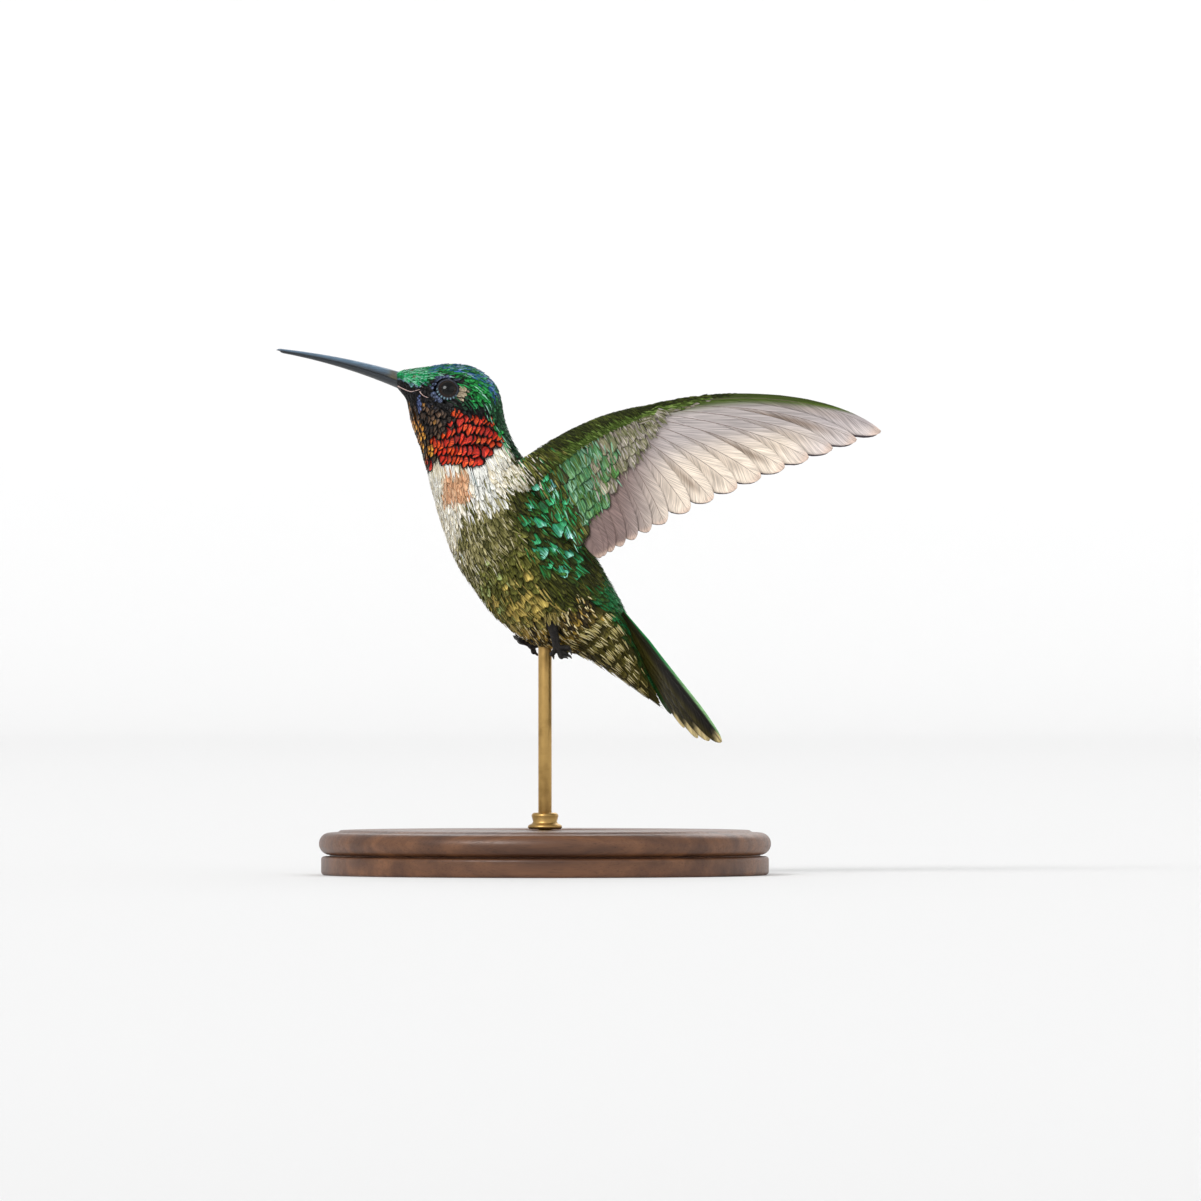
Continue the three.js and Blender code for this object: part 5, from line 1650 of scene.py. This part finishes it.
def makeSkin():
    skin = objectFrom("skin", sheet(skinSpec["around"], skinSpec["along"], bodyTube))
    helpers = []
    for side in (-1, 1):
        arm = objectFrom("armShape", sheet(20, 30, armTube(side)))
        socket = objectFrom("socketShape", ballOf(eyeFrames[side][0], eyeSpec["radius"] + skinSpec["socket"]))
        for helper, way in ((arm, "UNION"), (socket, "DIFFERENCE")):
            cut = skin.modifiers.new(way, "BOOLEAN")
            cut.operation = way
            cut.object = helper
            helpers.append(helper)
    remesh = skin.modifiers.new("even", "REMESH")
    remesh.mode = "VOXEL"
    remesh.voxel_size = skinSpec["voxel"]
    applied(skin)
    for helper in helpers:
        bpy.data.objects.remove(helper)
    bm = bmesh.new()
    bm.from_mesh(skin.data)
    for _ in range(2):
        bmesh.ops.smooth_vert(bm, verts=bm.verts[:], factor=0.5, use_axis_x=True, use_axis_y=True, use_axis_z=True)
    bm.to_mesh(skin.data)
    bm.free()
    skin.data.shade_smooth()
    return skin


# The skin takes the colour of the coat that grows nearest to each of its points, darkened as painted shade in the gaps
# under the feathers.
def paintSkin(skin):
    place, angle = np.meshgrid(np.linspace(0, lastRing, 160), np.linspace(0, 2 * math.pi, 72), indexing="ij")
    place, angle = place.ravel(), angle.ravel()
    spots = bodyPoint(place, angle, -sizeAt("depth", place))
    grounds = [[paint(row.split()[1]) for row in coat["tones"].split(",")] for coat in coats.values()]
    ground = np.array([np.mean(colours, axis=0) for colours in grounds])
    # times 0.55: painted shade where the skin shows between the vanes
    tints = ground[coatAt(place, angle, np.full(place.shape, 0.5))] * 0.55
    for side in (-1, 1):
        p, q = np.meshgrid(np.linspace(0, 2 * math.pi, 16), np.linspace(0.15, 1, 30), indexing="ij")
        spots = np.vstack([spots, armSurface(side, 1)(p.ravel(), q.ravel(), np.full(p.size, -0.3))])
        under = (np.sin(p.ravel()) > 0)[:, None]
        # the arm's skin, times 0.6: painted shade under its coverts
        tints = np.vstack([tints, np.where(under, paint("46531f"), paint("1f5a30")) * 0.6])
    tree = KDTree(len(spots))
    for index, spot in enumerate(spots * mm):
        tree.insert(spot, index)
    tree.balance()
    nearest = [tree.find(vert.co)[1] for vert in skin.data.vertices]
    addAttribute(skin.data, "tint", "FLOAT_COLOR", tints[nearest])


def skinMaterial():
    material, tree, shader = newMaterial("birdSkin", **{"Subsurface Weight": 0.05})
    where = objectPlace(tree)
    pores = noise(tree, where, 5200.0, 3.0)
    dark = ranged(tree, pores, 0.35, 0.65, 0.0, 0.35)
    tone = blend(tree, dark, attributeOf(tree, "tint", "Color"), (0.02, 0.018, 0.015))
    surfaced(tree, shader, tone, pores, (0.6, 0.8), 0.00004)
    return material


skin = makeSkin()
paintSkin(skin)
skinNodes = ("head", "neck", "trunk", "tail_coverts", "wing_left_arm", "wing_right_arm")
settle(skin, skinMaterial(), "breast_plumage", *skinNodes)
print("skin made,", len(skin.data.polygons), "faces")


billSpec = {
    "base": (-19.3, 66.1), "bend": (-27.1, 69.0), "tip": (-36.0, 70.3),
    "halfDepth": (0.95, 0.2), "halfWidth": (1.2, 0.22), "slit": 0.035,
    "upper": {"rise": 1, "depthShare": 1.12, "reach": 1.0},
    "lower": {"rise": -1, "depthShare": 0.9, "reach": 0.975},
    "nostril": {"along": 0.06, "length": 0.035, "dent": 0.3},
}


billLine = [np.array(billSpec[key]) for key in ("base", "bend", "tip")]

def billShape(half):
    def shape(across, along):
        t = (along * half["reach"])[:, None]
        centre = bezierAt(*billLine, t)
        slope = bezierSlope(*billLine, t)
        up = np.stack([-slope[:, 1], slope[:, 0]], -1) * half["rise"]
        up = up * np.sign(up[:, 1:] * half["rise"])
        angle = across * 2 * math.pi
        thin = 1 - (1 - along) ** 1.15
        depth = between(billSpec["halfDepth"], thin) * half["depthShare"]
        width = between(billSpec["halfWidth"], thin)
        closing = np.sqrt(np.clip(1 - np.clip((along - 0.965) / 0.035, 0, 1) ** 2, 0.02, 1))
        ridge = 1 + 0.12 * np.clip(np.sin(angle), 0, 1) ** 8
        high = np.where(np.sin(angle) > 0, np.sin(angle) * depth * ridge, np.sin(angle) * 0.05)
        high = high * closing + billSpec["slit"]
        out = np.cos(angle) * width * closing
        if half["rise"] > 0:
            spot = billSpec["nostril"]
            near = ((along - spot["along"]) / spot["length"]) ** 2 + ((np.abs(np.cos(angle)) - 0.72) / 0.2) ** 2
            dent = spot["dent"] * np.exp(-near) * (np.sin(angle) > 0)
            high = high * (1 - 0.5 * dent)
            out = out * (1 - dent)
        return np.stack([centre[:, 0] + up[:, 0] * high, out, centre[:, 1] + up[:, 1] * high], -1)
    return shape


def hornMaterial():
    material, tree, shader = newMaterial("billHorn", **{"Coat Weight": 0.25, "Coat Roughness": 0.25})
    grain = noise(tree, stretched(tree, objectPlace(tree), (500.0, 6000.0, 6000.0)), 1.0, 3.0)
    high = attributeOf(tree, "high", "Fac")
    # lighter with height on the bill: a painted highlight on top and painted shade below
    tone = blend(tree, ranged(tree, high, 0.1, 0.95), paint("1e252b"), paint("66829a"))
    tone = blend(tree, ranged(tree, grain, 0.35, 0.7, 0.0, 0.5), tone, paint("1d252e"))
    tone = blend(tree, attributeOf(tree, "nostril", "Fac"), tone, paint("5c543c"))
    surfaced(tree, shader, tone, grain, (0.28, 0.42), 0.00003, 0.5)
    return material


billHorn = hornMaterial()
for label in ("upper", "lower"):
    half = billSpec[label]
    bill = objectFrom(f"bill_{label}_horn", sheet(32, 60, billShape(half)))
    co = np.array([vert.co for vert in bill.data.vertices]) / mm
    t = np.clip((billSpec["base"][0] - co[:, 0]) / (billSpec["base"][0] - billSpec["tip"][0]), 0, 1)
    middle = bezierAt(*billLine, t[:, None])[:, 1]
    depth = between(billSpec["halfDepth"], t)
    # high: how far up the bill a point lies; the lower mandible's share is cut to 0.3, so it stays in the painted
    # shade
    addAttribute(bill.data, "high", "FLOAT", (co[:, 2] - middle) / depth * (1 if half["rise"] > 0 else 0.3) * 0.8)
    spot = billSpec["nostril"]["along"]
    patch = np.exp(-((t - spot) / 0.04) ** 2) * (np.abs(co[:, 1]) > 0.35) * (half["rise"] > 0)
    addAttribute(bill.data, "nostril", "FLOAT", patch * 0.8)
    settle(bill, billHorn, "bill_horn", f"bill_{label}")


# The gape: a thin pale fold that runs back from the bill into the face, by x and z seen from the side.
gapeSpec = {
    "corner": ((-19.7, 65.5), (-18.9, 65.1), (-18.0, 64.75), (-17.3, 64.85), (-16.75, 65.0)),
    "fold": ((-16.75, 64.75), (-16.5, 64.4), (-16.1, 64.1), (-15.6, 63.9)),
    "radius": 0.08, "lift": 0.01,
}


def gapeMaterial():
    material, tree, shader = newMaterial("gapeSkin", **{"Subsurface Weight": 0.1, "Subsurface Scale": 0.0003})
    where = objectPlace(tree)
    folds = noise(tree, where, 5200.0, 3.0)
    tone = blend(tree, ranged(tree, folds, 0.3, 0.7), paint("94766f"), paint("d6beb8"))
    surfaced(tree, shader, tone, folds, (0.4, 0.6), 0.00003)
    return material


gapeSkin = gapeMaterial()
for label, side in wingSides.items():
    bm = bmesh.new()
    for line in ("corner", "fold"):
        spots = np.array(gapeSpec[line])
        place, angle, _ = spotsOn(bodyPoint, spots, np.linspace(0.05, 3, 296), side * np.linspace(0.9, 2.4, 301))
        radii = gapeSpec["radius"] * np.linspace(1.0, 0.4, len(spots))
        joinMeshes(bm, sheet(10, 30, tubeShape(bodyPoint(place, angle, gapeSpec["lift"]), radii)))
    settle(objectFrom(f"gape_{label}", bm), gapeSkin, "bill_horn")
print("bill made")


def eyeMaterial():
    material, tree, shader = newMaterial("eyeGlass", **{
        "Roughness": 0.25, "Specular IOR Level": 0.05, "Coat Weight": 1.0, "Coat Roughness": 0.02, "Coat IOR": 1.3,
    })
    turn = attributeOf(tree, "turn", "Fac")
    where = objectPlace(tree)
    fibres = noise(tree, where, 4200.0, 2.0)
    iris = blend(tree, fibres, paint("100804"), paint("26150b"))
    tone = blend(tree, ranged(tree, turn, 0.44, 0.48), (0.001, 0.001, 0.001, 1), iris)
    tone = blend(tree, ranged(tree, turn, 0.62, 0.68), tone, (0.006, 0.005, 0.004, 1))
    feed(tree, shader.inputs["Base Color"], tone)
    return material


def lidMaterial():
    material, tree, shader = newMaterial("lidSkin", **{"Specular IOR Level": 0.4})
    where = objectPlace(tree)
    folds = noise(tree, where, 6500.0, 3.0)
    tone = blend(tree, ranged(tree, folds, 0.3, 0.7), paint("15161c"), paint("2e3442"))
    tone = blend(tree, attributeOf(tree, "bead", "Fac"), tone, paint("a8d4e4"))
    surfaced(tree, shader, tone, folds, (0.45, 0.65), 0.00005)
    return material


lidSpec = {"wide": 1.42, "high": 1.32, "thick": 0.12, "flat": 0.17, "beads": 20, "bead": 0.2, "around": 132, "section": 12}
eyeGlass = eyeMaterial()
lidSkin = lidMaterial()


def lidShape(side):
    centre, facing, rearward, upward = eyeFrames[side]

    def shape(across, along):
        turn = along * 2 * math.pi
        section = across * 2 * math.pi
        beads = 1 + lidSpec["bead"] * np.clip(-np.sin(turn) * 1.5, 0, 1) * np.cos(turn * lidSpec["beads"]) * 0.5
        radial = np.cos(section) * lidSpec["flat"] * beads
        outward = np.sin(section) * lidSpec["thick"] * beads
        wide = (lidSpec["wide"] + radial) * np.cos(turn)
        high = (lidSpec["high"] + radial) * np.sin(turn)
        ring = np.hypot(wide, high)
        ball = np.sqrt(np.maximum(eyeSpec["radius"] ** 2 - np.minimum(ring, 1.7) ** 2, 0))
        depth = ball + outward - 0.25 * np.maximum(radial, 0)
        return centre + wide[:, None] * rearward + high[:, None] * upward + depth[:, None] * facing
    return shape


for label, side in wingSides.items():
    centre, facing, rearward, upward = eyeFrames[side]
    bm = ballOf(centre, eyeSpec["radius"])
    middle = Vector(centre) * mm
    ahead = Vector(facing)
    turns = []
    for vert in bm.verts:
        arm = vert.co - middle
        turn = arm.angle(ahead)
        bulge = 0.03 * max(0.0, math.cos(min(turn / 0.75, 1) * math.pi / 2))  # the cornea
        vert.co = middle + arm * (1 + bulge)
        turns.append(turn)
    eye = objectFrom(f"eyeball_{label}", bm)
    addAttribute(eye.data, "turn", "FLOAT", np.array(turns))
    settle(eye, eyeGlass, "eye", f"eye_{label}")
    lid = objectFrom(f"eyelid_{label}", sheet(lidSpec["section"], lidSpec["around"], lidShape(side)))
    co = np.array([vert.co for vert in lid.data.vertices]) / mm - centre
    turn = np.arctan2(co @ upward, co @ rearward)
    outer = np.hypot(co @ rearward / lidSpec["wide"], co @ upward / lidSpec["high"])
    beads = np.clip(-np.sin(turn) * 1.6, 0, 1) * smooth(np.cos(turn * lidSpec["beads"]), 0.1, 0.8)
    beads = beads * np.exp(-((outer - 1.04) / 0.06) ** 2)
    addAttribute(lid.data, "bead", "FLOAT", beads)
    settle(lid, lidSkin, "leg_skin")
print("eyes made")


def makeLeg(label):
    knee, ankle = legLine(label)
    bm = sheet(16, 10, tubeShape((knee, (knee + ankle) / 2, ankle), legSpec["shinRadii"]))
    joinMeshes(bm, ballOf(ankle, legSpec["foot"], 16, 12))
    claws = bmesh.new()
    droop = np.array([0.0, 0.0, legSpec["droop"] if label == "left" else -legSpec["droop"]])
    for reach, curl in legSpec[label]["toes"]:
        knuckle = ankle + np.array(reach)
        curl = np.array(curl)
        toe = (ankle, (ankle + knuckle) / 2, knuckle, knuckle + curl * 0.35)
        claw = (knuckle + curl * 0.2, knuckle + curl * 0.68 + droop, knuckle + curl)
        joinMeshes(bm, sheet(12, 16, tubeShape(toe, legSpec["toeRadii"])))
        joinMeshes(claws, sheet(10, 12, tubeShape(claw, legSpec["clawRadii"])))
    foot = objectFrom(f"leg_{label}_skin", bm)
    remesh = foot.modifiers.new("even", "REMESH")
    remesh.mode = "VOXEL"
    remesh.voxel_size = legSpec["voxel"]
    applied(foot)
    return foot, objectFrom(f"claws_{label}", claws)


def scuteMaterial():
    material, tree, shader = newMaterial("legScutes", **{"Specular IOR Level": 0.3})
    where = objectPlace(tree)
    cells = put(tree, "ShaderNodeTexVoronoi", feature="DISTANCE_TO_EDGE")
    feed(tree, cells.inputs["Vector"], where)
    feed(tree, cells.inputs["Scale"], 6200.0)
    plates = ranged(tree, cells.outputs["Distance"], 0.0, 0.16)
    tone = blend(tree, plates, paint("060505"), paint("1e1b19"))
    tone = blend(tree, ranged(tree, noise(tree, where, 2500.0), 0.45, 0.75, 0.0, 0.6), tone, paint("39332f"))
    feed(tree, shader.inputs["Base Color"], tone)
    feed(tree, shader.inputs["Roughness"], ranged(tree, plates, 0.0, 1.0, 0.75, 0.42))
    bumpInto(tree, shader, plates, 0.00003)
    return material


def clawMaterial():
    material, tree, shader = newMaterial("clawHorn", **{"Coat Weight": 0.3, "Coat Roughness": 0.2})
    where = objectPlace(tree)
    grain = noise(tree, where, 4000.0, 3.0)
    surfaced(tree, shader, blend(tree, grain, paint("0b0a0a"), paint("2c2724")), grain, (0.25, 0.4))
    return material


legScutes = scuteMaterial()
clawHorn = clawMaterial()
for label in wingSides:
    foot, claws = makeLeg(label)
    settle(foot, legScutes, "leg_skin", f"leg_{label}", f"foot_{label}")
    settle(claws, clawHorn, "bill_horn")
print("legs made")


# Downy tufts round the top of each leg.
def tuftParts(label):
    knee, ankle = legLine(label)
    axis = (ankle - knee) / np.linalg.norm(ankle - knee)
    first = np.cross(axis, (0.0, 1.0, 0.0))
    first /= np.linalg.norm(first)
    second = np.cross(axis, first)

    def surface(p, q, lift):
        radius = 0.95 - 0.05 * p + lift
        outward = (np.cos(q) * radius)[..., None] * first + (np.sin(q) * radius)[..., None] * second
        return knee + p[..., None] * axis + outward

    count = 44
    p = np.repeat(np.arange(-1.3, -0.3, 0.25), 11)
    q = (np.tile(np.arange(11), 4) + 0.5 * (np.arange(count) // 11 % 2)) / 11 * 2 * math.pi
    roots = {
        "p": p, "q": q, "width": np.full(count, 0.32), "length": rng.uniform(0.7, 1.5, count),
        "depth": np.full(count, 0.1), "rise": rng.uniform(0.15, 0.4, count), "skew": rng.normal(0, 0.2, count),
    }
    points = layVanes(surface, roots, "wisp")
    colours = [paint(code) * rng.uniform(0.8, 1.1, (count, 1)) for code in ("8a7c44", "b8a86c", "544a22")]
    return vanePart(points, colours, 0.0, q / (2 * math.pi), 0.1 + 0.8 * (p + 1) / 1.7)

for label in wingSides:
    joinCoat(f"leg_{label}_tuft", [tuftParts(label)], smallBlank, softPlumage, "breast_plumage")


standSpec = {
    "radius": 30.0, "height": 6.0, "socket": 1.2, "sides": 160,
    "rod": (0.9, 3.3, 35.5), "ferrule": (2.3, 6.15, 8.35),
}


# Turns an outline of radii and heights round the upright axis.
def turned(profile, steps, closed=True, merge=1e-7):
    bm = bmesh.new()
    verts = [bm.verts.new(Vector((radius, 0, height)) * mm) for radius, height in profile]
    ends = verts[1:] + verts[:1] if closed else verts[1:]
    geom = verts + [bm.edges.new(pair) for pair in zip(verts, ends)]
    bmesh.ops.spin(bm, geom=geom, cent=(0, 0, 0), axis=(0, 0, 1), angle=2 * math.pi, steps=steps, use_merge=True)
    bmesh.ops.remove_doubles(bm, verts=bm.verts[:], dist=merge)
    bmesh.ops.recalc_face_normals(bm, faces=bm.faces[:])
    return bm


def arc(centreRadius, centreHeight, radius, start, end, steps=8):
    angles = np.radians(np.linspace(start, end, steps))
    return [(centreRadius + radius * math.cos(a), centreHeight + radius * math.sin(a)) for a in angles]


def woodMaterial():
    material, tree, shader = newMaterial("turnedWood", **{"Coat Weight": 0.12, "Coat Roughness": 0.3})
    where = objectPlace(tree)
    growth = noise(tree, stretched(tree, where, (14.0, 330.0, 200.0)), 1.0, 4.0, 0.6)
    streaks = noise(tree, stretched(tree, where, (60.0, 1500.0, 1500.0)), 1.0, 3.0)
    fine = noise(tree, stretched(tree, where, (350.0, 7000.0, 7000.0)), 1.0, 2.0)
    tone = blend(tree, ranged(tree, growth, 0.3, 0.7), paint("4b2d1b"), paint("7d5233"))
    tone = blend(tree, ranged(tree, streaks, 0.4, 0.7, 0.0, 0.55), tone, paint("5f3c25"))
    tone = blend(tree, ranged(tree, fine, 0.55, 0.75, 0.0, 0.55), tone, paint("2c1a10"))
    surfaced(tree, shader, tone, fine, (0.35, 0.55), 0.00002, 0.4)
    return material


def brassMaterial():
    material, tree, shader = newMaterial("brushedBrass", **{"Metallic": 1.0})
    where = objectPlace(tree)
    brushed = noise(tree, stretched(tree, where, (300.0, 300.0, 9000.0)), 1.0, 2.0)
    stains = noise(tree, where, 420.0, 4.0)
    tone = blend(tree, ranged(tree, stains, 0.4, 0.75, 0.0, 0.6), paint("c4a062"), paint("85683a"))
    surfaced(tree, shader, tone, brushed, (0.34, 0.46))
    return material


turnedWood = woodMaterial()
brushedBrass = brassMaterial()
radius, height, socket = standSpec["radius"], standSpec["height"], standSpec["socket"]
baseProfile = (
    [(0, 0.0), (radius - 1.0, 0.0)]
    + arc(radius - 0.5, 0.5, 0.5, -90, 0)
    + [(radius, 1.9)]
    + arc(radius - 0.4, 2.1, 0.4, 0, 90)
    + [(radius - 1.0, 2.5)]
    + arc(radius - 1.2, 4.2, 1.5, -90, 90, 12)
    + [(radius - 2.2, 5.75), (radius - 2.6, height), (socket, height), (socket, 3.0), (0, 3.0)]
)
base = objectFrom("stand_turned_base", turned(baseProfile, standSpec["sides"]))
settle(base, turnedWood, "stand_wood", "stand_base")
rodRadius, rodLow, rodHigh = standSpec["rod"]
rodProfile = (
    [(0, rodLow)] + arc(rodRadius - 0.2, rodLow + 0.2, 0.2, -90, 0, 4)
    + arc(rodRadius - 0.2, rodHigh - 0.2, 0.2, 0, 90, 4) + [(0, rodHigh)]
)
settle(objectFrom("stand_brass_rod", turned(rodProfile, 32)), brushedBrass, "stand_brass", "stand_rod")
outer, low, high = standSpec["ferrule"]
bore = rodRadius + 0.15
ferruleProfile = (
    [(bore, low), (outer - 0.2, low)] + arc(outer - 0.3, low + 0.3, 0.3, -60, 60, 6)
    + [(outer - 0.55, low + 0.75), (outer - 0.7, low + 1.0)] + arc(outer - 0.95, high - 0.45, 0.45, 0, 90, 7) + [(bore, high)]
)
settle(objectFrom("stand_brass_ferrule", turned(ferruleProfile, 64)), brushedBrass, "stand_brass", "stand_ferrule")
print("stand made")


studio = {
    "lens": 600.0, "frameWidth": 160.93, "centre": (7.44, 36.78),
    "floor": 2900.0, "sweep": 700.0, "wall": 1300.0, "paper": 0.82, "glow": 0.03, "world": 0.58,
    "lamps": {  # each shines from its spot, and angle is how soft it is
        "key": {"spot": (-0.5, -0.8, 0.8), "angle": 25.0, "power": 1.6},
        "fill": {"spot": (0.7, -0.7, 0.35), "angle": 60.0, "power": 0.45},
        "rim": {"spot": (0.2, 0.9, 0.7), "angle": 40.0, "power": 0.7},
    },
}


def makeStudio():
    lens, width = studio["lens"], studio["frameWidth"]
    camera = bpy.data.objects.new("camera", bpy.data.cameras.new("camera"))
    camera.data.lens = lens
    camera.data.sensor_width = 36.0
    camera.data.clip_end = 20
    camera.location = (studio["centre"][0] * mm, -width * lens / 36 * mm, studio["centre"][1] * mm)
    camera.rotation_euler = (math.radians(90), 0, 0)
    bpy.context.scene.collection.objects.link(camera)
    bpy.context.scene.camera = camera

    # the floor curves up into a round wall, the same from every side
    sweep = studio["sweep"]
    rim = studio["floor"] + sweep
    profile = [(0.0, 0.0), (studio["floor"] / 3, 0.0), (studio["floor"], 0.0)]
    profile += arc(studio["floor"], sweep, sweep, -85, 0, 18) + [(rim, studio["wall"])]
    bm = turned(profile, 96, closed=False, merge=1e-6)
    if sum(face.normal.z * face.calc_area() for face in bm.faces) < 0:
        bmesh.ops.reverse_faces(bm, faces=bm.faces[:])
    backdrop = objectFrom("backdrop", bm)
    paper = studio["paper"]
    material, tree, shader = newMaterial("palePaper", **{
        "Roughness": 0.9, "Base Color": (paper, paper, paper), "Emission Color": (1, 1, 1), "Emission Strength": studio["glow"],
    })
    backdrop.data.materials.append(material)
    backdrop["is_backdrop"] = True

    world = bpy.data.worlds.new("studio")
    bpy.context.scene.world = world
    world.use_nodes = True
    world.node_tree.nodes["Background"].inputs[0].default_value = (1, 1, 1, 1)
    world.node_tree.nodes["Background"].inputs[1].default_value = studio["world"]
    for name, spec in studio["lamps"].items():
        lamp = bpy.data.lights.new(name, "SUN")
        lamp.angle = math.radians(spec["angle"])
        lamp.energy = spec["power"]
        holder = bpy.data.objects.new(name, lamp)
        holder.location = spec["spot"]
        aim = Vector((0.0, 0.0, 0.05)) - holder.location
        holder.rotation_euler = aim.to_track_quat("-Z", "Y").to_euler()
        bpy.context.scene.collection.objects.link(holder)
    bpy.context.scene.view_settings.view_transform = "Standard"


makeStudio()
print("studio made")

low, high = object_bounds()
